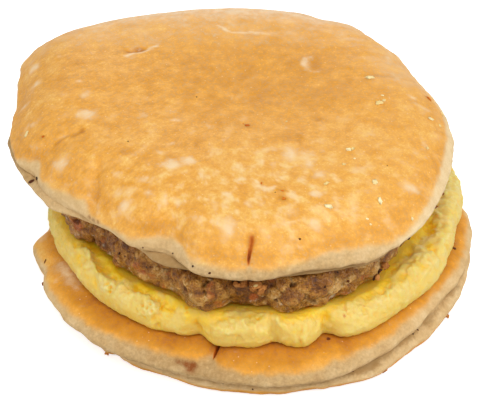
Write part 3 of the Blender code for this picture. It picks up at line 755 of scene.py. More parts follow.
def folded_egg(material):
    """The CAD form with a ragged foot that meets the crust, then soft lumps, knobs beside the
    patty, upright creases, torn pits on the crest and small bubbles on the outer face."""
    angle, radius, over_base = turned_grid(
        EGG_SECTION, EGG_RADIUS, EGG_SPACING, EGG_STEPS, [(-85, 75, 1.6)]
    )
    inset = EGG_RADIUS - radius
    near_rim, radius = pushed_rim(angle, radius, EGG_RADIUS, EGG_RIM_WIDTH, EGG_RIM + EGG_RIM_FINER)
    raised = ease(over_base, 0.4, 2.5)
    x = EGG_MIDDLE[0] + radius * np.cos(angle)
    y = EGG_MIDDLE[1] + radius * np.sin(angle)
    beyond = beyond_rim(x, y, PATTY_MIDDLE, PATTY_RADIUS, PATTY_RIM + PATTY_RIM_FINER)
    clear = ease(beyond, 0, EGG_SWELL_FADE)
    swell = swell_rise(x - EGG_MIDDLE[0], y - EGG_MIDDLE[1], EGG_SWELLS)
    droop = np.maximum(lower_crust_height(x, y) - LOWER_PANCAKE_THICKNESS, -EGG_SAG)
    height = over_base + swell * raised * clear + droop * near_rim
    points = np.stack([x, y, EGG_BASE + height], -1)

    # Ragged foot
    foot = ease(over_base, 2.4, 0.2) * ease(inset, 6.0, 2.5)
    fringe = 1.0 + 0.50 * lumps(points, 1.5, 221) + 0.40 * lumps(points, 0.75, 222)
    outwards = np.stack([0.25 * np.cos(angle), 0.25 * np.sin(angle), np.full_like(angle, -0.32)], -1)
    points = points + outwards * (fringe * foot)[..., None]

    # Valleys, ridges and hollows
    top = ease(over_base, 3.0, 5.5)
    valley = np.zeros_like(x)
    wx, wy = x + 0.9 * lumps(points, 2.4, 231), y + 0.9 * lumps(points, 2.4, 232)
    for line, width, rise in EGG_VALLEYS + EGG_RIDGES:
        valley += rise * stroke(wx, wy, line, width)
    for at_x, at_y, across, deep, depth, *turn in EGG_HOLLOWS:
        valley -= 0.55 * depth * blot(wx, wy, at_x, at_y, across, deep, *turn)
    points = moved(points, valley * top * clear)

    # Lumps, creases, knobs and grain
    free = raised * np.maximum(ease(beyond, -0.8, 1.0), 1 - top)
    wandering = np.degrees(angle) + 1.6 * lumps(points, 3.0, 210)
    creases = np.zeros_like(x)
    for at, half_width, cut in EGG_CREASES:
        creases += cut * bell(wandering - at, half_width) * ease(over_base, 6.6, 5.2)
    soft = 0.45 * lumps(points, 6.5, 201) + 0.26 * lumps(points, 3.3, 202)
    points = moved(points, (soft - creases) * free)
    lumpier = 0.38 + 0.24 * ease(np.cos(angle + radians(15)), 0.3, 0.9)
    knobs = 0.95 * lumpier * rough(points, 2.6, 3, 212) * ease(over_base, 4.6, 6.0)
    crest = bell(inset - 2.4, 2.0) * (over_base > 4)
    fold = np.clip(1 - np.abs(rough(points, 4.5, 3, 203)) * 5.0, 0, 1) * crest
    grainy = 0.20 * lumps(points, 1.5, 204) + 0.17 * lumps(points, 0.85, 205)
    grainy += 0.14 * lumps(points, 0.48, 211)
    points = moved(points, (knobs + grainy - 0.25 * fold) * free)

    # Bubbles
    torn = 0.30 * ease(lumps(points, 5, 206), 0.25, 0.6) * ease(over_base, 4.5, 6.0)
    for *place, across in EGG_TEARS:
        torn = np.maximum(torn, np.exp(-((how_far(points, place) / across) ** 4)))
    bubble, bubble_next, drawn = cells(points, 1.15, 207)
    pit = ease(bubble, 0.52, 0.20) * (drawn > 0.35) * torn
    wall = ease(bubble_next - bubble, 0.25, 0.0) * torn
    fine_bubble, _, fine_drawn = cells(points, 0.7, 208)
    fine_pit = ease(fine_bubble, 0.42, 0.1) * (fine_drawn > 0.7)
    points = moved(points, (-0.75 * pit + 0.22 * wall - 0.14 * fine_pit) * free)

    # Deeper golden colour, partly the egg's own and partly painted shade: in folds, creases, pits, valleys,
    # beside the patty and low on the outer face and foot; painted lighter on knobs, lumps and bubble walls.
    by_patty = 0.12 * ease(beyond, 4.0, 0.5) + 0.30 * ease(beyond, 1.9, 0.2)
    depth = (
        0.18 + 0.35 * np.clip(0.6 * fold + creases, 0, 1) * free + 0.75 * pit - 0.15 * wall
        + (0.46 * ease(-valley, 0.06, 0.7) + 0.12 * ease(-swell, 0.3, 1.5) + by_patty) * top
        + 0.22 * fine_pit + 0.13 * ease(over_base, 5.6, 4.0) + 0.10 * ease(over_base, 2.4, 0.6)
        - (0.22 * (0.5 * knobs + soft) + 0.45 * grainy) * free
    )
    masks = {"depth": np.clip(depth, 0, 1), "dot": near_points(points, EGG_DOTS)}
    place_layer("folded_egg", points, masks, material, "egg_round")


# The patty

PATTY_SPACING = [(0, 6), (30, 4), (36, 0.5), (40, 0.21), (53, 0.21), (58, 1.0), (62, 5), (100, 5)]
PATTY_STEPS = 1000
# Redder pieces of meat: (x, y, z, radius)
RED_PIECES = [
    (-39.1, -16.7, 21.2, 2.0), (-33.8, -21.4, 21.0, 1.5), (-32.0, -24.0, 20.6, 1.3),
    (27.4, -30.4, 19.6, 1.2), (-0.1, -40.6, 19.5, 1.4), (1.9, -41.5, 18.6, 1.1), (-7.6, -41.0, 19.5, 1.0),
    (16.5, -39.0, 18.4, 1.0), (-23.0, -31.0, 20.5, 1.2),
]
# Burnt bits on the patty's side, and pale fat partly painted as glints, in the same terms
BURNT_PIECES = [
    (28.3, -28.8, 18.2, 0.8), (27.2, -29.8, 17.6, 0.9), (7.7, -42.6, 17.3, 0.9), (4.6, -42.4, 17.2, 0.5),
    (-19.0, -36.5, 21.0, 0.5), (-9.5, -40.0, 23.4, 0.6),
]
FAT_AND_GLINT_PIECES = [
    (-36.6, -19.2, 21.0, 0.9), (17.2, -38.2, 18.5, 0.8), (-7.2, -42.4, 17.6, 0.6),
    (-24.6, -33.2, 18.0, 0.6), (0.6, -41.6, 18.0, 0.4), (10.5, -41.0, 20.5, 0.4),
]


def minced_patty(material):
    """The CAD form, then lumps of minced meat at three sizes: round lumps between scattered
    middles, holes where some middles are missing, and fine crags on top of them."""
    angle, radius, over_base = turned_grid(
        PATTY_SECTION, PATTY_RADIUS, PATTY_SPACING, PATTY_STEPS, [(-88, 65, 2.0)]
    )
    lobes = PATTY_RIM + PATTY_RIM_FINER
    near_rim, radius = pushed_rim(angle, radius, PATTY_RADIUS, PATTY_RIM_WIDTH, lobes)
    x, y = radius * np.cos(angle), radius * np.sin(angle)
    height = over_base + tilt_rise(PATTY_MIDDLE[1] + y) * over_base / PATTY_THICKNESS
    height = height - 0.7 * ease(over_base, 1.8, 0.2) * near_rim
    points = np.stack([PATTY_MIDDLE[0] + x, PATTY_MIDDLE[1] + y, PATTY_BASE + height], -1)

    side = ease(over_base, 0.0, 1.5) * ease(over_base, PATTY_THICKNESS, PATTY_THICKNESS - 1.3)
    warped = warp(points, 2.0, 301)
    big, big_next, tone = cells(warped, 3.9, 304)
    middle, middle_next, middle_tone = cells(warped, 2.0, 305)
    small, _, small_tone = cells(warped, 1.05, 306)
    crags = 0.80 * rough(points, 6.5, 2, 307) + 0.7 * ease(over_base, 2.4, 0.4)
    crags += 1.45 * (0.38 - big**2) + 0.60 * (0.40 - middle**2) + 0.25 * (0.4 - small**2)
    hole = ease(middle, 0.5, 0.15) * (middle_tone > 0.84)
    crags = np.clip(crags - 1.5 * hole, -2.6, 2.2) + 0.24 * rough(points, 0.9, 3, 308, 0.65)
    points = moved(points, crags * side * near_rim)

    # Masks for the material
    # Painted shade: darker in the gaps between lumps, in holes and in low places.
    gap = ease(big_next - big, 0.16, 0.0) + 0.6 * ease(middle_next - middle, 0.14, 0.0)
    dark = np.clip(0.40 * gap + 0.8 * hole + 0.35 * ease(-crags, 0.0, 1.6), 0, 1)
    shade = 0.51 + 0.34 * rough(points, 3.0, 3, 312) + 0.15 * ease(x, 16, 30)
    shade += 0.34 * (tone - 0.5) + 0.20 * (middle_tone - 0.5) + 0.14 * (small_tone - 0.5)
    reddish = (middle_tone > 0.42) * (middle_tone < 0.50) * ease(middle, 0.7, 0.4)
    pepper, _, pepper_draw = cells(points, 1.7, 309)
    # Pale fat along the lower edge and in small spots, partly painted glints of wet fat.
    frill = ease(rough(points, 1.3, 3, 313, 0.7), 0.45, 0.85) * ease(over_base, 3.4, 1.4)
    fat_and_glint = np.maximum(0.8 * ease(small, 0.45, 0.25) * (small_tone > 0.965), 0.7 * frill)
    masks = {
        "tone": shade,
        "dark": np.maximum(dark, near_points(warped, BURNT_PIECES)),
        "red": np.maximum(near_points(warped, RED_PIECES, 1.2, 0.6), 0.6 * reddish),
        "pepper": ease(pepper, 0.17, 0.09) * (pepper_draw > 0.80),
        "fat_and_glint": np.maximum(fat_and_glint, 0.75 * near_points(warped, FAT_AND_GLINT_PIECES)),
    }
    place_layer("minced_patty", points, masks, material, "sausage_patty")
    return points


# Crumbs: (x, y, z, across, deep, thick, turn)

# Pale flakes on the upper crust
PALE_FLAKES = [
    (26.6, 15.0, 39.4, 1.9, 1.2, 0.3, 5), (28.3, 5.5, 39, 1.5, 1.3, 0.45, 25),
    (29.4, 6.4, 39, 1.0, 0.7, 0.35, 60), (21.1, -12.1, 38.4, 1.1, 0.9, 0.4, 10),
    (22.1, -12.0, 38.4, 0.9, 0.7, 0.4, 40), (19.8, -17.4, 38.1, 0.8, 0.6, 0.3, 0),
    (22.4, -15.3, 38.1, 0.5, 0.4, 0.25, 0), (16.1, -24.3, 37.6, 1.3, 0.7, 0.35, 40),
    (26.4, -22.3, 36.9, 1.1, 1.3, 0.15, 0), (40.1, 3.9, 35.8, 1.4, 0.9, 0.25, 10),
    (43.1, 11.0, 32.4, 0.7, 1.2, 0.35, 0), (38.5, -7.3, 35.5, 0.5, 0.8, 0.3, -30),
    (27.5, -27.3, 35.4, 0.8, 1.5, 0.4, 20), (24.4, -32.2, 34.1, 0.6, 0.4, 0.3, 0),
    (25.2, -33, 33.4, 0.5, 0.4, 0.3, 0), (34.3, -27.7, 31.1, 0.6, 0.7, 0.4, 0),
    (-50.3, 0.3, 34.5, 1.5, 0.8, 0.3, 50), (16.1, -30.8, 36.5, 1.5, 0.9, 0.3, -10),
    (29.2, 8.4, 39, 0.6, 0.4, 0.2, 0), (42.4, 3.5, 34.1, 0.6, 0.9, 0.3, 30),
    (7.5, -1, 38.5, 0.4, 0.3, 0.2, 0),
]
# Rust brown bits fried into the upper crust
RUST_SPECKS = [
    (-46.6, -3.6, 36.1, 0.6, 0.45, 0.12, 20), (40.0, 13.3, 34.8, 1.3, 0.8, 0.3, -20),
    (-1.1, -2.1, 38.2, 0.9, 0.7, 0.15, 10), (-1.9, -1.7, 38.2, 0.3, 0.3, 0.1, 0),
    (6.5, -26.5, 37.6, 0.7, 0.4, 0.1, -20), (6.6, -28.8, 37.4, 0.7, 0.7, 0.1, 0),
    (2.1, -24.1, 37.9, 0.3, 0.7, 0.1, 0),
]
# Dark pin points on the pancakes
UPPER_SPECKS = [
    (10.1, -38.5, 33.8, 0.45, 0.4, 0.15, 0), (-12.4, 8.7, 38.6, 0.3, 0.3, 0.12, 0),
    (-12.2, -42.0, 29.3, 0.5, 0.4, 0.2, 0), (-8.6, -43.6, 29.0, 0.5, 0.4, 0.2, 0),
    (-22.9, -34.9, 29.2, 0.35, 0.3, 0.15, 0), (-17.3, -38.2, 29.6, 0.35, 0.3, 0.15, 0),
    (29.0, -16.5, 36.9, 0.25, 0.25, 0.1, 0), (-27.0, -9.0, 38.3, 0.3, 0.25, 0.1, 0),
    (-50.2, -9.9, 30.0, 1.4, 0.7, 0.3, 0), (-49.2, -11.3, 30.0, 0.8, 0.6, 0.3, 30),
    (5.0, -27.0, 37.6, 0.25, 0.25, 0.1, 0), (33.8, -30.6, 27.4, 0.7, 0.5, 0.3, 0),
]
LOWER_SPECKS = [
    (46.2, -7.6, 8.0, 0.9, 0.6, 0.25, 10), (16.3, -41.5, 9.2, 0.7, 0.6, 0.2, 0),
    (35.1, -33.1, 3.5, 0.5, 0.3, 0.15, 0), (36.4, -31.6, 3.6, 0.5, 0.3, 0.15, 0),
    (-26.5, -42.0, 5.0, 0.35, 0.3, 0.15, 0), (-47.5, -11.0, 7.6, 0.9, 0.3, 0.2, 60),
    (22.0, -45.8, 3.8, 0.35, 0.3, 0.15, 0), (0.0, -51.5, 2.5, 0.3, 0.3, 0.15, 0),
    (-6.0, -50.5, 4.0, 0.3, 0.25, 0.15, 0),
]
# Fried bits on the right of the upper pancake's rim
RIM_CRUMBS = [(42.6, -15.4, 28.2, 1.5, 0.6, 0.4, 40), (40.6, -19.8, 27.6, 1.4, 0.7, 0.4, 20)]
# Browner crumbs that hang under the front lip, on the patty's side, and pale bits on them
BROWN_CRUMBS = [
    (-1.6, -42.4, 24.0, 2.0, 1.4, 1.2, 20), (-0.4, -42.6, 23.5, 1.9, 1.6, 1.4, 60),
    (0.9, -42.6, 23.8, 2.1, 1.5, 1.3, 10), (-2.7, -42.2, 24.5, 1.5, 1.1, 0.9, 0),
    (1.3, -42.4, 22.9, 1.5, 1.2, 1.0, 40), (0.3, -42.4, 24.4, 1.8, 1.4, 1.2, 80),
    (2.3, -42.4, 24.4, 1.6, 1.2, 1.0, 30), (-0.6, -42.4, 22.9, 1.3, 1.0, 0.9, 0),
    (1.9, -42.4, 23.6, 1.2, 1.0, 0.9, 70), (29.0, -30.6, 20.8, 2.0, 1.5, 1.1, 30),
    (27.0, -32.0, 18.6, 1.5, 1.2, 0.9, 0),
]
LIP_FLAKES = [(1.0, -42.8, 23.9, 1.0, 0.5, 0.5, 10), (-1.4, -42.8, 24.4, 0.5, 0.4, 0.4, 0)]
# Burnt bits on the patty's side
PATTY_SPECKS = [
    (-28.8, -28.9, 22.7, 0.6, 0.5, 0.3, 0), (15.6, -41.0, 23.0, 0.5, 0.4, 0.3, 0),
    (2.8, -42.3, 23.0, 0.9, 0.7, 0.5, 20), (27.4, -31.8, 20.3, 1.3, 1.0, 0.6, 30),
    (26.4, -31.8, 18.5, 1.3, 0.9, 0.6, 10), (21.1, -38.4, 22.5, 0.6, 0.5, 0.3, 0),
    (-12.2, -39.6, 20.8, 0.7, 0.5, 0.3, 0),
]
# Crumbs at the foot of the lower pancake
BASE_CRUMBS = [
    (28.2, -41.6, 0.4, 1.1, 1.0, 0.9, 0), (29.0, -41.2, 0.5, 0.8, 0.8, 0.8, 40),
    (27.4, -42.0, 0.4, 0.8, 0.7, 0.6, 0), (44.6, -24.6, 1.0, 0.8, 0.8, 0.7, 0),
    (-31.8, -36.0, 0.9, 1.0, 0.6, 0.6, 20), (-49.6, -16.0, 3.4, 0.8, 0.6, 0.6, 20),
]
# Every piece of crumbs: (name, crumbs, carrier, material, slot, seed, lift off the carrier)
CRUMB_PIECES = [
    ("pale_flakes", PALE_FLAKES, "upper", "pale_flake", "griddled_crust", 5, 0.0),
    ("lip_crumbs", BROWN_CRUMBS, "patty", "brown_crumb", "fried_sausage", 6, 0.25),
    ("base_crumbs", BASE_CRUMBS, "lower", "brown_crumb", "griddled_crust", 7, 0.0),
    ("rim_crumbs", RIM_CRUMBS, "upper", "brown_crumb", "griddled_crust", 13, 0.0),
    ("upper_specks", UPPER_SPECKS, "upper", "burnt_speck", "griddled_crust", 8, 0.0),
    ("rust_specks", RUST_SPECKS, "upper", "rust_speck", "griddled_crust", 10, 0.0),
    ("lip_flakes", LIP_FLAKES, "patty", "pale_flake", "griddled_crust", 11, 1.1),
    ("patty_specks", PATTY_SPECKS, "patty", "burnt_speck", "fried_sausage", 12, 0.0),
    ("lower_specks", LOWER_SPECKS, "lower", "burnt_speck", "griddled_crust", 9, 0.0),
]
CRUMB_RINGS, CRUMB_ROUND = 9, 13
CRUMB_BOXY = 0.75
# Share of its thickness by which a crumb's middle stands off its carrier
CRUMB_STAND = 0.3
# Crumbs lie no lower than this
FLOOR_CLEAR = 0.02


def crumbs(name, rows, carrier, material, seed, lift):
    """Small uneven lumps on a carrier's surface: boxy flattened balls whose radius is broken
    by noise, each laid on the nearest point of the carrier and turned to its normal."""
    flat, flat_normals = carrier.reshape(-1, 3), normals_of(carrier).reshape(-1, 3)
    polar = np.linspace(0, np.pi, CRUMB_RINGS)[:, None]
    turn = np.linspace(0, 2 * np.pi, CRUMB_ROUND, endpoint=False)[None]
    ball = np.broadcast_arrays(np.sin(polar) * np.cos(turn), np.sin(polar) * np.sin(turn), np.cos(polar))
    ball = np.stack(ball, -1)
    ball = np.sign(ball) * np.abs(ball) ** CRUMB_BOXY
    rng = np.random.default_rng(seed)
    all_points, all_faces, tones = [], [], []
    count = 0
    for *place, across, deep, thick, turned in rows:
        near = np.argmin(how_far(flat, place))
        up = flat_normals[near]
        side = np.cross(up, (0.0, 1.0, 0.2))
        side /= np.linalg.norm(side)
        side = side * np.cos(radians(turned)) + np.cross(up, side) * np.sin(radians(turned))
        shape = ball * (1 + 0.8 * lumps(ball + rng.uniform(0, 90, 3), 0.6, seed))[..., None]
        shape = shape * (across / 2, deep / 2, thick / 2) @ np.array([side, np.cross(up, side), up])
        placed = flat[near] + up * (thick * CRUMB_STAND + lift) + shape
        placed[..., 2] += max(0.0, FLOOR_CLEAR - placed[..., 2].min())
        all_points.append(one_pole_each(placed))
        all_faces += grid_faces(CRUMB_RINGS, CRUMB_ROUND, count)
        count += len(all_points[-1])
        tones.append(np.full(len(all_points[-1]), rng.uniform(0, 1)))
    masks = {"tone": np.concatenate(tones)}
    place_mesh(name, np.concatenate(all_points), all_faces, masks, material)


# Materials

# Colours from 0 to 255 along each tone: (place, colour)
CRUST_COLOURS = [
    (0.0, (251, 224, 166)), (0.25, (246, 203, 120)), (0.42, (240, 181, 84)), (0.5, (236, 168, 64)),
    (0.58, (230, 158, 48)), (0.72, (214, 143, 30)), (0.88, (198, 125, 18)), (1.0, (176, 100, 12)),
]
SIDE_COLOURS = [(0.0, (188, 148, 98)), (0.45, (216, 180, 126)), (1.0, (238, 210, 162))]
# Colours of the slits: browned crust and painted shade in the cracks.
SLIT_STAIN_AND_SHADE_COLOURS = [
    (0.0, (216, 146, 64)), (0.4, (196, 102, 22)), (0.7, (146, 68, 12)), (1.0, (90, 40, 10)),
]
# Egg colours from light yellow to a deep golden, the deep end used for the egg's painted shade as well as
# its own colour.
EGG_COLOURS = [
    (0.0, (238, 218, 146)), (0.2, (234, 207, 116)), (0.45, (237, 201, 88)), (0.7, (252, 206, 50)),
    (1.0, (255, 196, 14)),
]
MINCE_COLOURS = [
    (0.05, (104, 56, 8)), (0.3, (150, 90, 20)), (0.5, (181, 117, 34)), (0.7, (210, 150, 62)),
    (0.95, (236, 192, 122)),
]
# Darkest and lightest colour of each kind of crumb
CRUMB_COLOURS = {
    "pale_flake": ((244, 214, 140), (255, 242, 190)),
    "brown_crumb": ((150, 86, 30), (222, 150, 78)),
    "burnt_speck": ((54, 27, 14), (116, 60, 30)),
    "rust_speck": ((196, 84, 12), (228, 128, 34)),
}


def to_linear(colour):
    """A colour given from 0 to 255 as light values."""
    share = np.array(colour) / 255
    light = np.where(share <= 0.04045, share / 12.92, ((share + 0.055) / 1.055) ** 2.4)
    return (*light.tolist(), 1.0)


class Paint:
    """The nodes of one material or group, added and joined by short calls."""

    def __init__(self, tree):
        self.tree = tree

    def put(self, socket, value):
        """Joins a socket to another or sets it to a value."""
        if isinstance(value, bpy.types.NodeSocket):
            self.tree.links.new(value, socket)
        else:
            socket.default_value = value

    def add(self, kind, inputs=(), **settings):
        """A node with its settings and inputs."""
        node = self.tree.nodes.new(kind)
        for key, value in settings.items():
            setattr(node, key, value)
        for key, value in dict(inputs).items():
            self.put(node.inputs[key], value)
        return node

    def calc(self, operation, a, b=0.0, c=0.0):
        """Sum or comparison of values."""
        return self.add("ShaderNodeMath", {0: a, 1: b, 2: c}, operation=operation).outputs[0]

    def times(self, a, b):
        """Product of two values."""
        return self.calc("MULTIPLY", a, b)

    def plus(self, base, *parts):
        """A base value and shares of others: (value, share)."""
        for value, share in parts:
            base = self.calc("MULTIPLY_ADD", value, share, base)
        return base

    def scaled(self, value, low, high, start=0.0, end=1.0):
        """A value stretched from low..high to start..end, kept inside."""
        inputs = {"Value": value, "From Min": low, "From Max": high, "To Min": start, "To Max": end}
        return self.add("ShaderNodeMapRange", inputs, interpolation_type="SMOOTHSTEP").outputs["Result"]

    def ramp(self, value, stops):
        """Colours along a value."""
        node = self.add("ShaderNodeValToRGB", {"Fac": value})
        elements = node.color_ramp.elements
        for element, (place, colour) in zip(elements, (stops[0], stops[-1])):
            element.position, element.color = place, to_linear(colour)
        for place, colour in stops[1:-1]:
            elements.new(place).color = to_linear(colour)
        return node.outputs["Color"]

    def mix(self, share, under, over):
        """This share of the colour over, and the rest of the colour under."""
        node = self.add("ShaderNodeMix", {"Factor": share}, data_type="RGBA")
        for index, colour in ((6, under), (7, over)):
            joined = isinstance(colour, bpy.types.NodeSocket)
            self.put(node.inputs[index], colour if joined else to_linear(colour))
        return node.outputs[2]

    def mask(self, key):
        """A mask that the piece carries on its points."""
        return self.add("ShaderNodeAttribute", attribute_name=key).outputs["Fac"]

    def grain(self, group, coarse, fine, seed):
        """Coarse and fine noise of these sizes."""
        sizes = {"Coarse Size": coarse, "Fine Size": fine, "Seed": seed}
        node = self.add("ShaderNodeGroup", sizes, node_tree=group)
        return node.outputs["Coarse"], node.outputs["Fine"]

    def bump(self, height, distance):
        """Normals of fine relief this deep."""
        inputs = {"Height": height, "Distance": distance * MM, "Strength": 1.0}
        return self.add("ShaderNodeBump", inputs).outputs["Normal"]

    def surface(self, sockets):
        """Joins or sets the surface's own sockets, by name."""
        for key, value in sockets.items():
            self.put(self.tree.nodes["Principled BSDF"].inputs[key], value)


def grain_group():
    """Two sizes of noise on the object, centred on 0, for mottling and bumps."""
    group = bpy.data.node_groups.new("food_grain", "ShaderNodeTree")
    for key, start in (("Coarse Size", 2.0), ("Fine Size", 0.5), ("Seed", 0.0)):
        socket = group.interface.new_socket(key, in_out="INPUT", socket_type="NodeSocketFloat")
        socket.default_value = start
    for key in ("Coarse", "Fine"):
        group.interface.new_socket(key, in_out="OUTPUT", socket_type="NodeSocketFloat")
    entry, leave = group.nodes.new("NodeGroupInput"), group.nodes.new("NodeGroupOutput")
    paint = Paint(group)
    place = paint.add("ShaderNodeTexCoord").outputs["Object"]
    for key in ("Coarse", "Fine"):
        scale = paint.calc("DIVIDE", 1 / MM, entry.outputs[key + " Size"])
        inputs = {"Vector": place, "Scale": scale, "Detail": 3.0, "Roughness": 0.55}
        inputs["W"] = entry.outputs["Seed"]
        noise = paint.add("ShaderNodeTexNoise", inputs, noise_dimensions="4D")
        paint.put(leave.inputs[key], paint.calc("SUBTRACT", noise.outputs[0], 0.5))
    return group


def new_material(name):
    """A material and the paint for its nodes."""
    material = bpy.data.materials.new(name)
    material.use_nodes = True
    return material, Paint(material.node_tree)


def crust_material(group):
    """Griddled batter: the browner, the darker, with cloudy pale patches, fine streaks, a sandy grain with
    bright points, and pale crumb on the side. Its masks also paint light: painted shade in creases, slits,
    low on the lips and on the lower pancake's front side, and painted sheen and light at the back and right
    of the upper crust."""
    material, paint = new_material("griddled_batter")
    coarse, fine = paint.grain(group, 1.5, 0.38, 1.0)
    cloud, medium = paint.grain(group, 3.4, 0.8, 2.0)
    side, grainy, pale_mask = paint.mask("side"), paint.mask("grainy"), paint.mask("pale")
    place = paint.add("ShaderNodeTexCoord").outputs["Object"]
    drawn_out = paint.add("ShaderNodeMapping", {
        "Vector": place, "Rotation": (0, 0, radians(STREAK_TURN)), "Scale": (2.8, 1.0, 2.0),
    }, vector_type="TEXTURE").outputs["Vector"]
    inputs = {"Vector": drawn_out, "Scale": 1 / (0.7 * MM), "Detail": 2.0}
    streaks = paint.add("ShaderNodeTexNoise", inputs).outputs[0]
    streaks = paint.times(paint.calc("SUBTRACT", streaks, 0.5), paint.mask("streaks"))

    sandy = paint.times(fine, grainy)
    browning_and_shade = paint.plus(
        paint.mask("browning_and_shade"), (coarse, 0.30), (medium, 0.30), (cloud, 0.18), (sandy, 0.80), (streaks, 0.28)
    )
    crust = paint.ramp(browning_and_shade, CRUST_COLOURS)
    speckle = paint.scaled(paint.plus(fine, (medium, 0.6)), -0.16, 0.24, 0.02, 0.24)
    crust = paint.mix(paint.times(speckle, grainy), crust, (246, 214, 168))
    patches = paint.plus(pale_mask, (cloud, 0.8), (coarse, 1.1), (fine, 0.6), (streaks, 0.6))
    crust = paint.mix(paint.scaled(patches, 0.16, 1.4, 0.0, 0.74), crust, (246, 221, 180))

    side_coarse, side_fine = paint.grain(group, 3.0, 0.5, 7.0)
    crumb = paint.plus(0.5, (side_coarse, 1.1), (side_fine, 0.6), (pale_mask, 0.5))
    pale = paint.ramp(crumb, SIDE_COLOURS)
    # Painted shade on the side, by the crease mask: darker in the crease, low on the lips and on the front.
    deep = paint.plus(paint.mask("crease"), (medium, 0.9))
    pale = paint.mix(paint.scaled(deep, 0.1, 1.0, 0.0, 0.72), pale, (148, 110, 58))
    colour = paint.mix(paint.scaled(paint.plus(side, (coarse, 0.35)), 0.0, 1.0), crust, pale)

    points = paint.add("ShaderNodeTexVoronoi", {"Vector": place, "Scale": 1 / (1.3 * MM)})
    drawn = paint.add("ShaderNodeSeparateColor", {"Color": points.outputs["Color"]}).outputs[0]
    bright = paint.scaled(points.outputs["Distance"], 0.15, 0.07, 0.0, 0.36)
    bright = paint.times(bright, paint.calc("GREATER_THAN", drawn, 0.72))
    bright = paint.times(bright, paint.scaled(side, 0.5, 0.1))
    colour = paint.mix(bright, colour, (255, 236, 196))

    smudge, slit_stain_and_shade = paint.mask("smudge"), paint.mask("slit_stain_and_shade")
    smudge = paint.plus(smudge, (paint.times(smudge, fine), 1.6))
    colour = paint.mix(paint.scaled(smudge, 0.05, 1.05, 0.0, 0.92), colour, (140, 72, 24))
    # The slits, browned and with painted shade in the cracks.
    slit_stain_and_shade = paint.plus(slit_stain_and_shade, (paint.times(slit_stain_and_shade, coarse), 1.6))
    colour = paint.mix(paint.scaled(slit_stain_and_shade, 0.0, 0.5), colour, paint.ramp(slit_stain_and_shade, SLIT_STAIN_AND_SHADE_COLOURS))
    paint.surface({
        "Base Color": colour, "Roughness": paint.plus(0.50, (side, 0.22), (fine, 0.25)),
        "Specular IOR Level": 0.18, "Normal": paint.bump(paint.plus(coarse, (fine, 0.8)), 0.18),
    })
    return material


def egg_material(group):
    """Set egg: light yellow, a deeper golden in folds and pits, partly its own colour and partly painted
    shade.
    """
    material, paint = new_material("set_egg_curd")
    coarse, fine = paint.grain(group, 2.6, 0.5, 3.0)
    colour = paint.ramp(paint.plus(paint.mask("depth"), (coarse, 0.40), (fine, 0.30)), EGG_COLOURS)
    paint.surface({
        "Base Color": paint.mix(paint.mask("dot"), colour, (206, 104, 22)),
        "Roughness": paint.plus(0.42, (fine, 0.3)),
        "Subsurface Weight": 0.8,
        "Subsurface Radius": (1.0, 0.72, 0.22),
        "Subsurface Scale": 2.5 * MM,
        "Normal": paint.bump(paint.plus(coarse, (fine, 0.8)), 0.25),
    })
    return material


def patty_material(group):
    """Fried minced meat: grey brown to tan lumps, red pieces, pepper and wet fat with painted glints, and
    painted shade in gaps, holes and low places.
    """
    material, paint = new_material("fried_mince")
    coarse, fine = paint.grain(group, 1.3, 0.4, 5.0)
    colour = paint.ramp(paint.plus(paint.mask("tone"), (coarse, 0.8), (fine, 1.0)), MINCE_COLOURS)
    colour = paint.mix(paint.times(paint.mask("red"), 0.7), colour, (206, 98, 30))
    # Painted shade in the gaps, holes and low places, and the real burnt bits.
    colour = paint.mix(paint.times(paint.mask("dark"), 0.8), colour, (84, 40, 14))
    # Pale fat, partly painted glints of wet fat.
    colour = paint.mix(paint.mask("fat_and_glint"), colour, (226, 204, 172))
    paint.surface({
        "Base Color": paint.mix(paint.mask("pepper"), colour, (30, 22, 18)),
        "Roughness": paint.plus(0.36, (fine, 0.5)),
        "Coat Weight": 0.28,
        "Coat Roughness": 0.14,
        "Specular IOR Level": 0.35,
        "Normal": paint.bump(paint.plus(coarse, (fine, 0.9)), 0.9),
    })
    return material


def crumb_material(name, group, dark, light):
    """Dull crumb between a dark and a light colour."""
    material, paint = new_material(name)
    coarse, fine = paint.grain(group, 0.8, 0.3, 9.0)
    paint.surface({
        "Base Color": paint.ramp(paint.plus(paint.mask("tone"), (coarse, 1.0)), [(0.0, dark), (1.0, light)]),
        "Roughness": 0.7,
        "Specular IOR Level": 0.2,
        "Normal": paint.bump(fine, 0.15),
    })
    return material


# Stage, in metres

FLOOR_REACH, FLOOR_LOW = 2.0, -0.0001
FLOOR_GREY = 0.74
# Glow of the floor, and what is added where the camera sees it
FLOOR_GLOW, FLOOR_GLOW_SEEN = 0.05, 0.67
WORLD_LIGHT = 0.46
LIGHT_AIM = (0, 0, 0.02)
# Square soft lights: (name, place, size, watts)
SOFT_BOXES = [
    ("front_key", (0.16, -0.46, 1.0), 0.8, 6.1), ("front_fill", (0.05, -1.2, 0.3), 0.7, 0.35),
    ("right_fill", (0.92, -0.3, 0.5), 0.5, 2.9), ("left_fill", (-0.9, -0.4, 0.4), 0.5, 2.2),
    ("backdrop_glow", (0.0, 1.3, 0.2), 0.5, 3.2),
]
CAMERA_PLACE = (0.0, -0.4131, 0.3119)
CAMERA_TILT = 54
CAMERA_LENS, SENSOR_WIDTH = 166.875, 36.0
CAMERA_SHIFT = (-0.025, 0.03125)


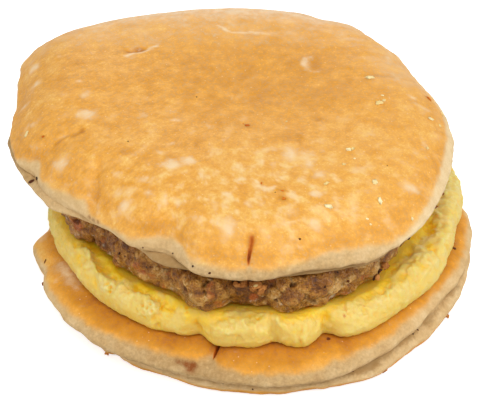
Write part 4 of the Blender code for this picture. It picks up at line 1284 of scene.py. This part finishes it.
def plain_floor():
    """A wide pale square a hair under the base."""
    mesh = bpy.data.meshes.new("floor")
    corners = [(-1, -1), (1, -1), (1, 1), (-1, 1)]
    corners = [(x * FLOOR_REACH, y * FLOOR_REACH, FLOOR_LOW) for x, y in corners]
    mesh.from_pydata(corners, [], [(0, 1, 2, 3)])
    material, paint = new_material("pale_floor")
    seen = paint.add("ShaderNodeLightPath").outputs["Is Camera Ray"]
    paint.surface({
        "Base Color": (FLOOR_GREY, FLOOR_GREY, FLOOR_GREY, 1),
        "Roughness": 0.9,
        "Specular IOR Level": 0.0,
        "Emission Color": (1, 1, 1, 1),
        "Emission Strength": paint.plus(FLOOR_GLOW, (seen, FLOOR_GLOW_SEEN)),
    })
    mesh.materials.append(material)
    floor = bpy.data.objects.new("floor", mesh)
    bpy.context.scene.collection.objects.link(floor)


def soft_box(name, place, size, power):
    """A square soft light that points at the sandwich."""
    light = bpy.data.lights.new(name, "AREA")
    light.shape = "SQUARE"
    light.size = size
    light.energy = power
    lamp = bpy.data.objects.new(name, light)
    x, y, z = np.array(LIGHT_AIM) - np.array(place)
    lamp.rotation_euler = (np.arctan2(np.hypot(x, y), -z), 0, np.arctan2(y, x) - np.pi / 2)
    lamp.location = place
    bpy.context.scene.collection.objects.link(lamp)


def light_stage():
    """Even white surroundings and the soft boxes."""
    world = bpy.data.worlds.new("studio")
    world.use_nodes = True
    background = world.node_tree.nodes["Background"]
    background.inputs["Color"].default_value = (1, 1, 1, 1)
    background.inputs["Strength"].default_value = WORLD_LIGHT
    bpy.context.scene.world = world
    for row in SOFT_BOXES:
        soft_box(*row)
    bpy.context.scene.view_settings.view_transform = "Standard"


def set_camera():
    """The photo's camera: above the table, looking down at the front."""
    data = bpy.data.cameras.new("camera")
    data.lens = CAMERA_LENS
    data.sensor_width = SENSOR_WIDTH
    data.sensor_fit = "HORIZONTAL"
    data.shift_x, data.shift_y = CAMERA_SHIFT
    data.clip_start = 0.01
    camera = bpy.data.objects.new("camera", data)
    camera.location = CAMERA_PLACE
    camera.rotation_euler = (radians(CAMERA_TILT), 0, 0)
    bpy.context.scene.collection.objects.link(camera)
    bpy.context.scene.camera = camera


def main():
    """Loads the frame and makes every piece, the floor, the light and the camera."""
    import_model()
    group = grain_group()
    crust = crust_material(group)
    carriers = {"upper": upper_pancake(crust), "lower": lower_pancake(crust)}
    folded_egg(egg_material(group))
    carriers["patty"] = minced_patty(patty_material(group))
    kinds = {name: crumb_material(name, group, *colours) for name, colours in CRUMB_COLOURS.items()}
    for name, rows, carrier, kind, slot, seed, lift in CRUMB_PIECES:
        crumbs(name, rows, carriers[carrier], kinds[kind], seed, lift)
    plain_floor()
    light_stage()
    set_camera()


main()
